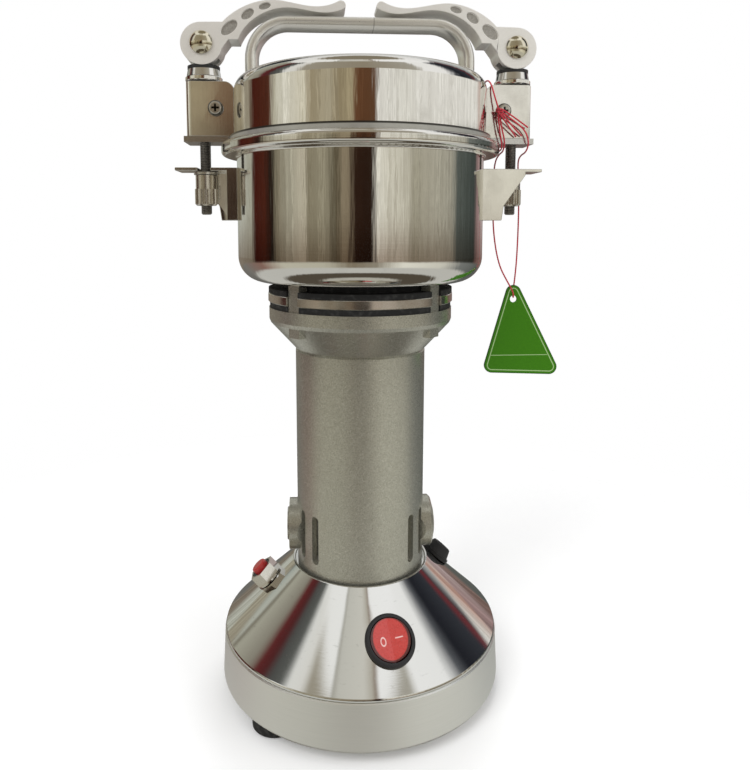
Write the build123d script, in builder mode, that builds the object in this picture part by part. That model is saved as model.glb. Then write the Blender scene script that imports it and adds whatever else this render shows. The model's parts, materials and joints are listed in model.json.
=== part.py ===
# Electric grain mill: a spun base, a cast motor column, and a steel bowl whose lid is pulled down
# by two cam latches. Millimetres. +Z is up and -Y is the front. The origin is on the floor, under
# the motor's axis, and the latches stand on the X axis.
from build123d import *
from math import atan2, cos, pi, radians, sin, sqrt, tan
import os

os.makedirs("parts", exist_ok=True)

UP = (Align.CENTER, Align.CENTER, Align.MIN)
DOWN = (Align.CENTER, Align.CENTER, Align.MAX)

# ---- Clearances
RUN = 0.05  # radial, a shaft in its bearing or a pin in its bore
PASS = 0.3  # between pieces that move past each other
FIT = 0.1  # radial, a screw or a bought-in part in its hole

# ---- Fasteners: head radius, head height, shank radius
M3_HEAD, M3_HEAD_H, M3 = 2.9, 1.9, 1.5
M4_HEAD, M4_HEAD_H, M4 = 3.6, 2.4, 2.0
M4_NUT_FLATS = 7.0
DRIVE_WIDTH = 0.9  # of the cross recess
DRIVE_DEPTH = 0.9

# ---- Base
foot_radius = 8.0
foot_height = 6.0
foot_inset = 8.5  # from the skirt's inside to a foot's middle
foot_tread_radius = 10.8
foot_tread_gap = 0.5  # between a foot's tread and the skirt's lower edge
foot_count = 3
foot_azimuth = -46.0  # azimuths run from the front towards +X
skirt_radius = 70.0
skirt_draft = 1.1
skirt_height = 21.9
skirt_wall = 2.4
skirt_edge = 1.2
ledge_width = 8.0
ledge_thickness = 2.5
cone_inset = 1.5  # the cone's rim stands this far inside the skirt's foot
cone_lip = 1.5
cone_height = 33.9
cone_wall = 2.0
cone_gap = 1.2
seam = 0.5
seat_depth = 4.0
seat_thickness = 2.0
plate_thickness = 1.5
plate_recess = 2.0
lug_radius = 4.5
plate_screw_grip = 8.0
foot_seat = 3.5
foot_nut_height = 3.2

# ---- Motor housing
column_radius = 31.8
column_flare = 0.4
column_height = 106.9  # above the cone
column_wall = 3.0
groove_depth = 0.6
funnel_height = 14.5
rim_radius = 45.0
rim_height = 6.6
rim_wall = 3.5
web_rise = 5.3
web_thickness = 4.0
boss_radius = 12.6
boss_reach = 36.0
boss_height = 16.0  # above the cone
boss_chamfer = 1.0
vent_width = 4.4
vent_bottom = 4.4  # above the cone
vent_top = 28.2
vent_azimuths = (46.5, 65.0)
post_azimuth = 47.0
post_width = 7.0
post_depth = 5.0
post_outer = 44.0
gap_under_plate = 2.7
end_plate_thickness = 4.4
end_plate_radius = 45.4
end_plate_bore = 32.0
gasket_thickness = 2.5
bowl_gap = 5.6  # from the end plate to the bowl
column_screw_ring = 27.0
column_lug_radius = 4.2
column_lug_height = 8.0

# ---- Motor
shaft_radius = 5.5
upper_journal = 5.0
lower_journal = 4.0
upper_bearing_radius = 13.0
upper_bearing_width = 8.0
lower_bearing_radius = 11.0
lower_bearing_width = 7.0
bearing_lip = 2.0
commutator_radius = 10.0
commutator_length = 14.0
commutator_bars = 12
armature_radius = 16.0
armature_length = 44.0
armature_slots = 12
slot_radius = 2.0
slot_inset = 3.2  # from the armature's outside to a slot's middle
slot_mouth = 1.2
winding_radius = 14.5
winding_overhang = 9.0
air_gap = 0.5
stator_rise = 39.2  # above the housing's foot
stator_ring = 4.6
pole_width = 18.0
pole_shoe = 3.2
coil_width = 5.0
fan_radius = 25.0
fan_height = 8.0
fan_blades = 9
frame_thickness = 3.0
holder_radius = 6.4
brush_width = 6.0
brush_height = 8.0
brush_length = 14.0
brush_gap = 0.3
cap_radius = 8.0
cap_thickness = 3.3
cap_slot = 1.4
spring_wire = 0.35
spring_radius = 2.4
spring_turns = 5

# ---- Bowl
bowl_radius = 59.5
bowl_height = 65.4
bowl_wall = 1.2
bowl_corner = 12.0
bead_radius = 66.7
bead_height = 6.0
bead_round = 2.0
hub_radius = 11.0
hub_flange = 17.0
hub_flange_thickness = 2.5
hub_depth = 15.0
seal_radius = 8.0
seal_height = 7.0
seal_nut_thickness = 3.0
seal_nut_radius = 16.0

# ---- Blades
blade_shank = 4.0  # radius of the shaft's blade end
blade_start = 6.0  # above the bowl's floor
blade_thickness = 2.0
blade_width = 15.0
lower_blade_reach = 50.0
upper_blade_reach = 44.0
blade_tip_rise = 9.0
spacer_radius = 8.0
spacer_height = 12.0
blade_nut_radius = 7.5
blade_nut_height = 8.0

# ---- Lid
lid_radius = 60.5
lid_height = 27.9
lid_wall = 1.2
lid_corner = 7.0
seal_gap = 3.1  # between bowl and lid
seal_outer = 62.5
locating_wall = 1.5
locating_depth = 4.0

# ---- Handle
handle_half = 55.0
handle_depth = 16.0
handle_bar = 5.5
handle_leg = 6.3
handle_rise = 28.7  # from the lid to the bar's top
handle_bend = 20.0
handle_edge = 1.0
handle_screw_offset = 50.7
handle_screw_grip = 12.0

# ---- Latches
rod_offset = 74.7
rod_radius = 2.5
rod_tail = 20.6  # below the bracket's tab
box_reach = 82.3
box_depth = 17.0
box_height = 25.3
box_sheet = 1.2
box_bend = 3.0
box_corner = 5.0
box_screw_offset = 68.3
box_screw_drop = 12.5  # below the box's top
lip_reach = 83.4
lip_thickness = 2.7
washer_thickness = 0.8
washer_radius = 7.8
collar_flange_radius = 8.7
collar_flange = 2.2
collar_radius = 8.1
collar_top_radius = 7.5
collar_bore = 5.0
collar_height = 3.4
saddle_radius = 7.6
saddle_height = 1.6
saddle_floor = 1.0
pin_radius = 2.5
pin_head_radius = 5.25
pin_head_height = 3.0
pin_head_rim = 0.5
eye_radius = 4.5
cam_radius = 9.7
cam_offset = 0.4  # the cam's centre stands this far from the pin
lever_depth = 14.0
lever_slot = 7.0
lever_slot_reach = 7.5
recess_depth = 1.0
neck_length = 10.0
neck_rise = 0.2
# Outline of a lever, from its pin: towards the motor's axis, and up.
lever_back = ((20.0, 16.6), (33.0, 19.8), (50.0, 17.4), (64.0, 19.8))
lever_tip = ((67.0, 19.2), (67.2, 16.9))
lever_belly = ((55.3, 14.5), (40.0, 16.4), (27.0, 12.7), (20.8, 7.8), (17.0, 1.6))
lever_step = ((12.6, 1.6), (9.0, -3.2))
# Oval recesses in a lever's sides: place, half length, half width, and tilt.
recesses = (
    ((13.0, 6.9), 4.6, 2.5, 40),
    ((21.6, 13.2), 3.4, 2.0, 36),
    ((29.6, 16.9), 2.9, 1.5, 16),
)
tab_reach = 88.0
tab_drop = 5.4  # from the bead's underside to the tab's top
tab_thickness = 1.5
bracket_reach = 64.0
bracket_drop = 23.4  # below the tab
gusset_head = 16.0  # beyond the plate, under the tab
gusset_foot = 4.5  # beyond the plate, at its foot
gusset_step = 1.0
gusset_thickness = 1.5
nut_radius = 5.4
nut_neck_radius = 5.0
nut_height = 14.5
knurl_height = 8.0
knurl_teeth = 24
knurl_depth = 0.5
nut_washer = 1.2
nut_washer_radius = 5.7
nut_bevel = 0.9

# ---- Switch, in its own frame on the cone
switch_azimuth = 11.0
switch_radius = 52.0
bezel_radius = 11.5
bezel_height = 2.2
switch_body_radius = 10.5
switch_body_depth = 16.0
rocker_radius = 9.3
rocker_pivot = 0.5
rocker_level = 2.0
rocker_depth = 4.0
rocker_tilt = 16.0
rocker_pin = 1.0
rocker_pin_length = 0.8
terminal_width = 4.8
terminal_thickness = 0.8
terminal_length = 8.0

# ---- Overload reset, in its own frame on the cone
reset_azimuth = -90.0
reset_radius = 46.5
reset_washer_radius = 7.5
reset_washer = 0.8
reset_nut_flats = 12.6
reset_nut_height = 5.8
reset_neck = 5.5
reset_button_radius = 4.0
reset_button_rise = 2.5
reset_button_depth = 10.0
reset_travel = 2.0
breaker_width = 14.0
breaker_length = 20.0
breaker_depth = 18.0

# ---- Cord gland, in its own frame on the cone
gland_azimuth = 104.0
gland_radius = 42.0
gland_flange = 7.4
gland_flange_thickness = 1.8
gland_base_radius = 6.6
gland_tip_radius = 5.0
gland_height = 4.8
gland_round = 1.2
gland_bore = 3.4
gland_thread = 5.5
gland_depth = 10.0
gland_nut_flats = 15.0
gland_nut_height = 4.0
gland_spot_face = 9.0

# ---- Hang tag and its string
tag_centre = (81.0, 11.6)  # X and Y of the tag's hole
tag_top = 198.2
tag_height = 47.5
tag_width = 38.9
tag_skew = 4.6  # the foot's centre stands this far beyond the hole
tag_corner = 4.0
tag_slant = 1.2  # the foot's near corner is this much higher than its far one
tag_thickness = 1.0
tag_hole = 1.8
tag_hole_drop = 7.3
string_radius = 0.4
knot_radius = 2.0

# ---- Heights and rings that follow
skirt_bore = skirt_radius - skirt_draft - skirt_wall
foot_ring = skirt_bore - foot_inset
cone_radius = skirt_radius - cone_inset
base_top = foot_height + skirt_height
cone_top = base_top + cone_height
cone_top_radius = column_radius + cone_gap
housing_foot = cone_top - seat_depth
groove_z = cone_top + column_height
rim_bottom = groove_z + funnel_height
rim_top = rim_bottom + rim_height
end_plate_z = rim_top + gap_under_plate
end_plate_top = end_plate_z + end_plate_thickness
bowl_z = end_plate_top + bowl_gap
bowl_floor = bowl_z + bowl_wall
bowl_top = bowl_z + bowl_height
bead_z = bowl_top - bead_height
lid_z = bowl_top + seal_gap
lid_top = lid_z + lid_height
handle_top = lid_top + handle_rise
housing_bore = column_radius - column_wall
brush_z = cone_top + boss_height
web_top = groove_z + web_rise
upper_bearing_top = web_top - bearing_lip
frame_z = housing_foot + column_lug_height
frame_top = frame_z + frame_thickness
lower_bearing_z = frame_top - lower_bearing_width - FIT
armature_z = housing_foot + stator_rise
armature_top = armature_z + armature_length
blade_z = bowl_floor + blade_start

# ---- The cone's slope, and planes that lie on it
cone_run = cone_radius - cone_top_radius
cone_rise = cone_height - cone_lip
cone_angle = atan2(cone_rise, cone_run)
cone_drop = cone_wall / cos(cone_angle)


def cone_surface(radius):
    """Height of the cone's outside at a radius."""
    return cone_top - (radius - cone_top_radius) * cone_rise / cone_run


def cone_inside(z):
    """Radius of the cone's inside at a height."""
    return cone_top_radius + (cone_top - cone_drop - z) * cone_run / cone_rise


def spoke(azimuth, radius, z, lean=0.0):
    """A plane at a place round the axis, facing outwards and leaning up by an angle in radians."""
    a = radians(azimuth)
    return Plane(
        origin=(radius * sin(a), -radius * cos(a), z),
        x_dir=(cos(a), sin(a), 0),
        z_dir=(sin(a) * cos(lean), -cos(a) * cos(lean), sin(lean)),
    )


def on_cone(azimuth, radius):
    """A plane that lies on the cone, with its Z along the cone's normal and its Y up the slope."""
    return spoke(azimuth, radius, cone_surface(radius), lean=radians(90) - cone_angle)


def around(count, radius, first=0.0):
    """Places round the Z axis at equal steps, the first at an azimuth."""
    return PolarLocations(radius, count, start_angle=first - 90)


def corner(sketch, radius, z):
    """The vertex of a profile that is nearest to a radius and a height."""
    return sketch.vertices().sort_by_distance((radius, z))[0]


def pan_screw(head_radius, head_height, shank_radius, length):
    """A cross-head screw with its seat at Z 0, its head below and its shank above."""
    with BuildPart(mode=Mode.PRIVATE) as screw:
        Cylinder(head_radius, head_height, align=DOWN)
        fillet(screw.edges().sort_by(Axis.Z)[0], radius=0.6 * head_height)
        Cylinder(shank_radius, length, align=UP)
        with Locations((0, 0, -head_height)):
            Box(DRIVE_WIDTH, head_radius, DRIVE_DEPTH, align=UP, mode=Mode.SUBTRACT)
            Box(head_radius, DRIVE_WIDTH, DRIVE_DEPTH, align=UP, mode=Mode.SUBTRACT)
    return screw.part


def save(solid, name):
    solid.label = name
    export_step(solid, f"parts/{name}.step")


def save_both(solid, name):
    """Write a latch's piece, and the same piece turned half a turn for the other latch."""
    with BuildPart() as both:
        add(solid)
        add(solid, rotation=(0, 0, 180))
    save(both.part, name)


def save_each(solid, name):
    """Write a latch's piece as two nodes, because each of the two moves by itself."""
    save(solid.rotate(Axis.Z, 0), f"{name}_right")
    save(solid.rotate(Axis.Z, 180), f"{name}_left")


# ================================================================= Base

ledge_bore = skirt_bore - ledge_width
plate_z = foot_height + plate_recess
plate_top = plate_z + plate_thickness
lug_ring = skirt_bore - lug_radius + 1
lug_azimuth = foot_azimuth + 180 / foot_count
cone_screw_count = 6
cone_screw_ring = (ledge_bore + cone_inside(base_top + cone_wall)) / 2 - 0.5
cone_screw_azimuth = lug_azimuth + 180 / cone_screw_count

with BuildPart() as base_skirt:
    with BuildSketch(Plane.XZ) as skirt_profile:
        with BuildLine():
            Polyline(
                (skirt_bore, foot_height),
                (skirt_radius, foot_height),
                (skirt_radius - skirt_draft, base_top),
                (ledge_bore, base_top),
                (ledge_bore, base_top - ledge_thickness),
                (skirt_bore, base_top - ledge_thickness),
                close=True,
            )
        make_face()
        fillet(corner(skirt_profile, skirt_radius, foot_height), radius=skirt_edge)
        chamfer(corner(skirt_profile, skirt_radius - skirt_draft, base_top), length=seam)
    revolve(axis=Axis.Z)
    with around(foot_count, lug_ring, lug_azimuth):
        with Locations((0, 0, plate_top)):
            Cylinder(lug_radius, base_top - plate_top - ledge_thickness, align=UP)
            Cylinder(M3 + FIT, plate_screw_grip + 1, align=UP, mode=Mode.SUBTRACT)
    with around(cone_screw_count, cone_screw_ring, cone_screw_azimuth):
        with Locations((0, 0, base_top - ledge_thickness)):
            Cylinder(M3 + FIT, ledge_thickness, align=UP, mode=Mode.SUBTRACT)
save(base_skirt.part, "base_skirt")

with BuildPart() as bottom_plate:
    with Locations((0, 0, plate_z)):
        Cylinder(skirt_bore - FIT, plate_thickness, align=UP)
        with around(foot_count, foot_ring, foot_azimuth):
            Cylinder(M4 + FIT, plate_thickness, align=UP, mode=Mode.SUBTRACT)
        with around(foot_count, lug_ring, lug_azimuth):
            Cylinder(M3 + FIT, plate_thickness, align=UP, mode=Mode.SUBTRACT)
save(bottom_plate.part, "bottom_plate")

with BuildPart() as rubber_feet:
    with around(foot_count, foot_ring, foot_azimuth):
        Cylinder(foot_radius, plate_z, align=UP)
        Cylinder(foot_tread_radius, foot_height - foot_tread_gap, align=UP)
    chamfer(rubber_feet.edges().group_by(Axis.Z)[0], length=0.8)
    with around(foot_count, foot_ring, foot_azimuth):
        Cylinder(M4_HEAD + 2 * FIT, foot_seat, align=UP, mode=Mode.SUBTRACT)
        Cylinder(M4 + FIT, plate_z, align=UP, mode=Mode.SUBTRACT)
save(rubber_feet.part, "rubber_feet")

foot_nut_height = 3.2

switch_plane = on_cone(switch_azimuth, switch_radius)
reset_plane = on_cone(reset_azimuth, reset_radius)
gland_plane = on_cone(gland_azimuth, gland_radius)
seat_bore = column_screw_ring - column_lug_radius
hole_depth = 3 * cone_wall

with BuildPart() as base_cone:
    with BuildSketch(Plane.XZ) as cone_profile:
        with BuildLine():
            Polyline(
                (ledge_bore, base_top),
                (cone_radius, base_top),
                (cone_radius, base_top + cone_lip),
                (cone_top_radius, cone_top),
                (cone_top_radius, housing_foot),
                (seat_bore, housing_foot),
                (seat_bore, housing_foot - seat_thickness),
                (cone_inside(housing_foot - seat_thickness), housing_foot - seat_thickness),
                (cone_inside(base_top + cone_wall), base_top + cone_wall),
                (ledge_bore, base_top + cone_wall),
                close=True,
            )
        make_face()
        fillet(corner(cone_profile, cone_top_radius, cone_top), radius=0.4 * cone_wall)
        fillet(corner(cone_profile, cone_radius, base_top + cone_lip), radius=1.0)
        chamfer(corner(cone_profile, cone_radius, base_top), length=seam)
    revolve(axis=Axis.Z)
    with Locations(switch_plane):
        Cylinder(switch_body_radius + FIT, hole_depth, mode=Mode.SUBTRACT)
    with Locations(reset_plane):
        Cylinder(reset_neck + FIT, hole_depth, mode=Mode.SUBTRACT)
    with Locations(gland_plane):
        Cylinder(gland_thread + FIT, hole_depth, mode=Mode.SUBTRACT)
    with Locations(gland_plane.offset(-cone_wall - FIT)):
        Cylinder(gland_spot_face, gland_depth, align=DOWN, mode=Mode.SUBTRACT)
    with around(3, column_screw_ring), Locations((0, 0, housing_foot)):
        Cylinder(M4 + FIT, seat_thickness, align=DOWN, mode=Mode.SUBTRACT)
    with around(cone_screw_count, cone_screw_ring, cone_screw_azimuth):
        with Locations((0, 0, base_top)):
            Cylinder(M3 + FIT, cone_wall, align=UP, mode=Mode.SUBTRACT)
save(base_cone.part, "base_cone")

column_screw_length = seat_thickness + column_lug_height + frame_thickness

with BuildPart() as base_fasteners:
    with around(foot_count, lug_ring, lug_azimuth), Locations((0, 0, plate_z)):
        add(pan_screw(M3_HEAD, M3_HEAD_H, M3, plate_thickness + plate_screw_grip))
    with around(foot_count, foot_ring, foot_azimuth), Locations((0, 0, foot_seat)):
        add(pan_screw(M4_HEAD, M4_HEAD_H, M4, plate_top + foot_nut_height + 1 - foot_seat))
    with around(cone_screw_count, cone_screw_ring, cone_screw_azimuth):
        with Locations((0, 0, base_top - ledge_thickness)):
            add(pan_screw(M3_HEAD, M3_HEAD_H, M3, ledge_thickness + cone_wall))
    with around(3, column_screw_ring), Locations((0, 0, housing_foot - seat_thickness)):
        add(pan_screw(M4_HEAD, M4_HEAD_H, M4, column_screw_length))
    with BuildSketch(Plane.XY.offset(plate_top)):
        with around(foot_count, foot_ring, foot_azimuth):
            RegularPolygon(M4_NUT_FLATS / 2, 6, major_radius=False)
            Circle(M4 + FIT, mode=Mode.SUBTRACT)
    extrude(amount=foot_nut_height)
save(base_fasteners.part, "base_fasteners")

# ================================================================= Rocker switch

switch_cavity = rocker_radius + PASS

with BuildPart() as switch_bezel:
    with Locations(switch_plane):
        Cylinder(bezel_radius, bezel_height, align=UP)
    fillet(switch_bezel.edges().sort_by_distance(switch_plane.origin)[-1], radius=1.3)
    with Locations(switch_plane):
        Cylinder(switch_body_radius, switch_body_depth, align=DOWN)
    with Locations(switch_plane.offset(-rocker_depth - 3.5)):
        Cylinder(switch_cavity, switch_body_depth, align=UP, mode=Mode.SUBTRACT)
    with Locations(switch_plane.offset(rocker_pivot) * Rotation(90, 0, 0)):
        Cylinder(rocker_pin + RUN, 2 * (switch_cavity + rocker_pin_length), mode=Mode.SUBTRACT)
save(switch_bezel.part, "switch_bezel")

# The rocker is a slice of a ball round its pivot, so its rim clears the bezel at every angle. At
# rest its left half is pressed level with the bezel and its right half stands up.
rocker_outline = 2 * rocker_radius
rise_at_rim = rocker_outline * sin(radians(rocker_tilt)) / cos(radians(rocker_tilt))

with BuildPart() as switch_rocker:
    with Locations(switch_plane.offset(rocker_pivot)):
        Sphere(rocker_radius)
    with BuildSketch(switch_plane * Location((0, 0, 0), (90, 0, 0))):
        with BuildLine():
            Polyline(
                (-rocker_outline, -rocker_depth),
                (rocker_outline, -rocker_depth),
                (rocker_outline, rocker_level + rise_at_rim),
                (0, rocker_level),
                (-rocker_outline, rocker_level),
                close=True,
            )
        make_face()
    extrude(amount=rocker_outline, both=True, mode=Mode.INTERSECT)
    with Locations(switch_plane.offset(rocker_pivot) * Rotation(90, 0, 0)):
        Cylinder(rocker_pin, 2 * (switch_cavity + rocker_pin_length - PASS / 2))
save(switch_rocker.part, "switch_rocker")

# ================================================================= Overload reset

reset_nut_top = reset_washer + reset_nut_height

with BuildPart() as breaker_body:
    with Locations(reset_plane.offset(-cone_wall - 0.5)):
        Box(breaker_width, breaker_length, breaker_depth, align=DOWN)
    with Locations(reset_plane.offset(-cone_wall - 0.5)):
        Cylinder(reset_neck, cone_wall + 0.5 + reset_nut_top - 0.4, align=UP)
    with Locations(reset_plane.offset(reset_nut_top - reset_button_depth - reset_travel - 1)):
        Cylinder(reset_button_radius + RUN, 2 * reset_button_depth, align=UP, mode=Mode.SUBTRACT)
save(breaker_body.part, "breaker_body")

with BuildPart() as terminals:
    with Locations(switch_plane.offset(-switch_body_depth)):
        with GridLocations(5.5, 0, 3, 1):
            Box(terminal_thickness, terminal_width, terminal_length, align=DOWN)
    with Locations(reset_plane.offset(-cone_wall - 0.5 - breaker_depth)):
        with GridLocations(0, 9, 1, 2):
            Box(6.3, terminal_thickness, terminal_length, align=DOWN)
save(terminals.part, "terminals")

with BuildPart() as reset_nut:
    with BuildSketch(reset_plane.offset(reset_washer)):
        RegularPolygon(reset_nut_flats / 2, 6, major_radius=False)
    extrude(amount=reset_nut_height)
    with Locations(reset_plane):
        Cylinder(reset_washer_radius, reset_washer, align=UP)
        Cylinder(reset_neck + FIT, reset_nut_top, align=UP, mode=Mode.SUBTRACT)
save(reset_nut.part, "reset_nut")

with BuildPart() as reset_button:
    with Locations(reset_plane.offset(reset_nut_top + reset_button_rise)):
        Cylinder(reset_button_radius, reset_button_rise + reset_button_depth, align=DOWN)
    far_edge = reset_button.edges().sort_by_distance(reset_plane.origin)[-1]
    fillet(far_edge, radius=1.0)
save(reset_button.part, "reset_button")

# ================================================================= Cord gland

with BuildPart() as cord_gland:
    with Locations(gland_plane.offset(gland_flange_thickness)):
        Cone(gland_base_radius, gland_tip_radius, gland_height, align=UP)
    fillet(cord_gland.edges().sort_by_distance(gland_plane.origin)[-1], radius=gland_round)
    with Locations(gland_plane):
        Cylinder(gland_flange, gland_flange_thickness, align=UP)
        Cylinder(gland_thread, gland_depth, align=DOWN)
    with Locations(gland_plane):
        Cylinder(gland_bore, 4 * gland_depth, mode=Mode.SUBTRACT)
save(cord_gland.part, "cord_gland")

with BuildPart() as gland_nut:
    with BuildSketch(gland_plane.offset(-cone_wall - FIT - gland_nut_height)):
        RegularPolygon(gland_nut_flats / 2, 6, major_radius=False)
        Circle(gland_thread + FIT, mode=Mode.SUBTRACT)
    extrude(amount=gland_nut_height)
save(gland_nut.part, "gland_nut")

# ================================================================= Motor housing

column_top_radius = column_radius + column_flare
funnel_bore = rim_radius - rim_wall
web_bottom = web_top - web_thickness
bearing_boss = upper_bearing_radius + 4
shoulder_bore = housing_bore - 2.3
post_ring = post_outer - post_depth / 2
post_foot = web_top + 4
bowl_screw_grip = 9.0
bowl_screw_hole = 12.0
vent_middle = cone_top + (vent_bottom + vent_top) / 2

with BuildPart() as motor_housing:
    with BuildSketch(Plane.XZ) as column_profile:
        with BuildLine():
            Polyline(
                (0, housing_foot),
                (column_radius, housing_foot),
                (column_top_radius, groove_z - groove_depth),
                (column_top_radius - groove_depth, groove_z),
                (column_top_radius, groove_z + groove_depth),
                (rim_radius, rim_bottom),
                (rim_radius, rim_top),
                (0, rim_top),
                close=True,
            )
        make_face()
    revolve(axis=Axis.Z)
    with Locations((0, 0, brush_z)):
        Cylinder(boss_radius, 2 * boss_reach, rotation=(0, 90, 0))
    boss_rims = motor_housing.edges().filter_by(GeomType.CIRCLE).group_by(Axis.X)
    chamfer([boss_rims[0][0], boss_rims[-1][0]], length=boss_chamfer)
    with BuildSketch(Plane.XZ):
        with BuildLine():
            Polyline(
                (0, housing_foot),
                (housing_bore, housing_foot),
                (housing_bore, armature_top),
                (shoulder_bore, armature_top),
                (shoulder_bore, web_bottom),
                (bearing_boss, web_bottom),
                (bearing_boss, upper_bearing_top - upper_bearing_width),
                (upper_bearing_radius, upper_bearing_top - upper_bearing_width),
                (upper_bearing_radius, upper_bearing_top),
                (shaft_radius + 2.5, upper_bearing_top),
                (shaft_radius + 2.5, web_top),
                (housing_bore + 1, web_top),
                (funnel_bore, rim_bottom),
                (funnel_bore, rim_top),
                (0, rim_top),
                close=True,
            )
        make_face()
    revolve(axis=Axis.Z, mode=Mode.SUBTRACT)
    for azimuth in (post_azimuth, -post_azimuth):
        with BuildSketch(Plane.XY.offset(post_foot)):
            with around(2, post_ring, azimuth):
                Rectangle(post_depth, post_width)
        extrude(amount=bowl_z - post_foot)
        with around(2, post_ring, azimuth), Locations((0, 0, bowl_z)):
            Cylinder(M3 + FIT, bowl_screw_hole, align=DOWN, mode=Mode.SUBTRACT)
    for azimuth in vent_azimuths:
        for side in (azimuth, -azimuth):
            with BuildSketch(spoke(side, 0, vent_middle)):
                SlotOverall(vent_top - vent_bottom, vent_width, rotation=90)
            extrude(amount=rim_radius, both=True, mode=Mode.SUBTRACT)
    with Locations((0, 0, brush_z)):
        Cylinder(holder_radius + FIT, 2 * boss_reach, rotation=(0, 90, 0), mode=Mode.SUBTRACT)
    for end in (1, -1):
        with Locations(Plane(origin=(end * boss_reach, 0, brush_z), z_dir=(end, 0, 0))):
            Cylinder(cap_radius + FIT, cap_thickness - 1, align=DOWN, mode=Mode.SUBTRACT)
    with around(3, column_screw_ring), Locations((0, 0, housing_foot)):
        Cylinder(column_lug_radius, column_lug_height, align=UP)
        Cylinder(M4 + FIT, column_lug_height + frame_thickness, align=UP, mode=Mode.SUBTRACT)
save(motor_housing.part, "motor_housing")

lower_boss = lower_bearing_radius + 3

with BuildPart() as lower_end_frame:
    with Locations((0, 0, frame_z)):
        Cylinder(housing_bore - FIT, frame_thickness, align=UP)
    with Locations((0, 0, lower_bearing_z - 1.5)):
        Cylinder(lower_boss, frame_top - lower_bearing_z + 1.5, align=UP)
        Cylinder(lower_bearing_radius - 4, lower_boss, align=UP, mode=Mode.SUBTRACT)
    with Locations((0, 0, lower_bearing_z)):
        Cylinder(lower_bearing_radius, lower_boss, align=UP, mode=Mode.SUBTRACT)
    with around(3, column_screw_ring), Locations((0, 0, frame_z)):
        Cylinder(M4 + FIT, frame_thickness, align=UP, mode=Mode.SUBTRACT)
    with around(3, (housing_bore + lower_boss) / 2, 60), Locations((0, 0, frame_z)):
        Cylinder(5.0, frame_thickness, align=UP, mode=Mode.SUBTRACT)
save(lower_end_frame.part, "lower_end_frame")

# ================================================================= Bearings

shield_recess = 0.5
race = 2.0

with BuildPart() as ball_bearings:
    for z, radius, bore, width in (
        (lower_bearing_z, lower_bearing_radius, lower_journal, lower_bearing_width),
        (upper_bearing_top - upper_bearing_width, upper_bearing_radius, upper_journal,
         upper_bearing_width),
    ):
        with Locations((0, 0, z)):
            Cylinder(radius, width, align=UP)
            Cylinder(radius - race, shield_recess, align=UP, mode=Mode.SUBTRACT)
        with Locations((0, 0, z + width)):
            Cylinder(radius - race, shield_recess, align=DOWN, mode=Mode.SUBTRACT)
        with Locations((0, 0, z)):
            Cylinder(bore + race, width, align=UP)
            Cylinder(bore + RUN, width, align=UP, mode=Mode.SUBTRACT)
save(ball_bearings.part, "ball_bearings")

# ================================================================= Stator

stator_radius = housing_bore - FIT
stator_bore = armature_radius + air_gap
ring_bore = stator_radius - stator_ring
shoe_radius = stator_bore + pole_shoe

with BuildPart() as stator_core:
    with BuildSketch(Plane.XY.offset(armature_z)):
        Circle(stator_radius)
        Circle(ring_bore, mode=Mode.SUBTRACT)
        Rectangle(pole_width, 2 * (ring_bore + 1))
        Circle(shoe_radius)
        Rectangle(2 * shoe_radius, 2 * shoe_radius * 0.28, mode=Mode.SUBTRACT)
        Circle(stator_bore, mode=Mode.SUBTRACT)
    extrude(amount=armature_length)
save(stator_core.part, "stator_core")

coil_thickness = ring_bore - shoe_radius - 2 * FIT
coil_middle = shoe_radius + FIT + coil_thickness / 2

with BuildPart() as field_coils:
    for end in (1, -1):
        middle = (0, end * coil_middle, armature_z + armature_length / 2)
        with BuildSketch(Plane(origin=middle, x_dir=(1, 0, 0), z_dir=(0, end, 0))):
            RectangleRounded(pole_width + 2 * coil_width, armature_length + 2 * coil_width, 3)
            Rectangle(pole_width + 2 * FIT, armature_length + 2 * FIT, mode=Mode.SUBTRACT)
        extrude(amount=coil_thickness / 2, both=True)
    with Locations((0, 0, armature_z)):
        Cylinder(ring_bore - FIT, 4 * armature_length, mode=Mode.INTERSECT)
save(field_coils.part, "field_coils")

# ================================================================= Rotor

shaft_foot = lower_bearing_z - 1
shoulder_z = frame_top + 1
journal_z = upper_bearing_top - upper_bearing_width - 0.5
blade_nut_z = blade_z + 1 + 2 * blade_thickness + spacer_height
shaft_tip = blade_nut_z + blade_nut_height - 2

with BuildPart() as motor_shaft:
    for radius, low, high in (
        (lower_journal, shaft_foot, shoulder_z),
        (shaft_radius, shoulder_z, journal_z),
        (upper_journal, journal_z, blade_z),
        (blade_shank, blade_z, shaft_tip),
    ):
        with Locations((0, 0, low)):
            Cylinder(radius, high - low, align=UP)
    chamfer(motor_shaft.edges().group_by(Axis.Z)[0], length=0.5)
    chamfer(motor_shaft.edges().group_by(Axis.Z)[-1], length=0.5)
save(motor_shaft.part, "motor_shaft")

with BuildPart() as armature_core:
    with BuildSketch(Plane.XY.offset(armature_z)):
        Circle(armature_radius)
        Circle(shaft_radius, mode=Mode.SUBTRACT)
        with PolarLocations(armature_radius - slot_inset, armature_slots):
            Circle(slot_radius, mode=Mode.SUBTRACT)
        with PolarLocations(armature_radius, armature_slots):
            Rectangle(2 * slot_radius, slot_mouth, mode=Mode.SUBTRACT)
    extrude(amount=armature_length)
save(armature_core.part, "armature_core")

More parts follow.
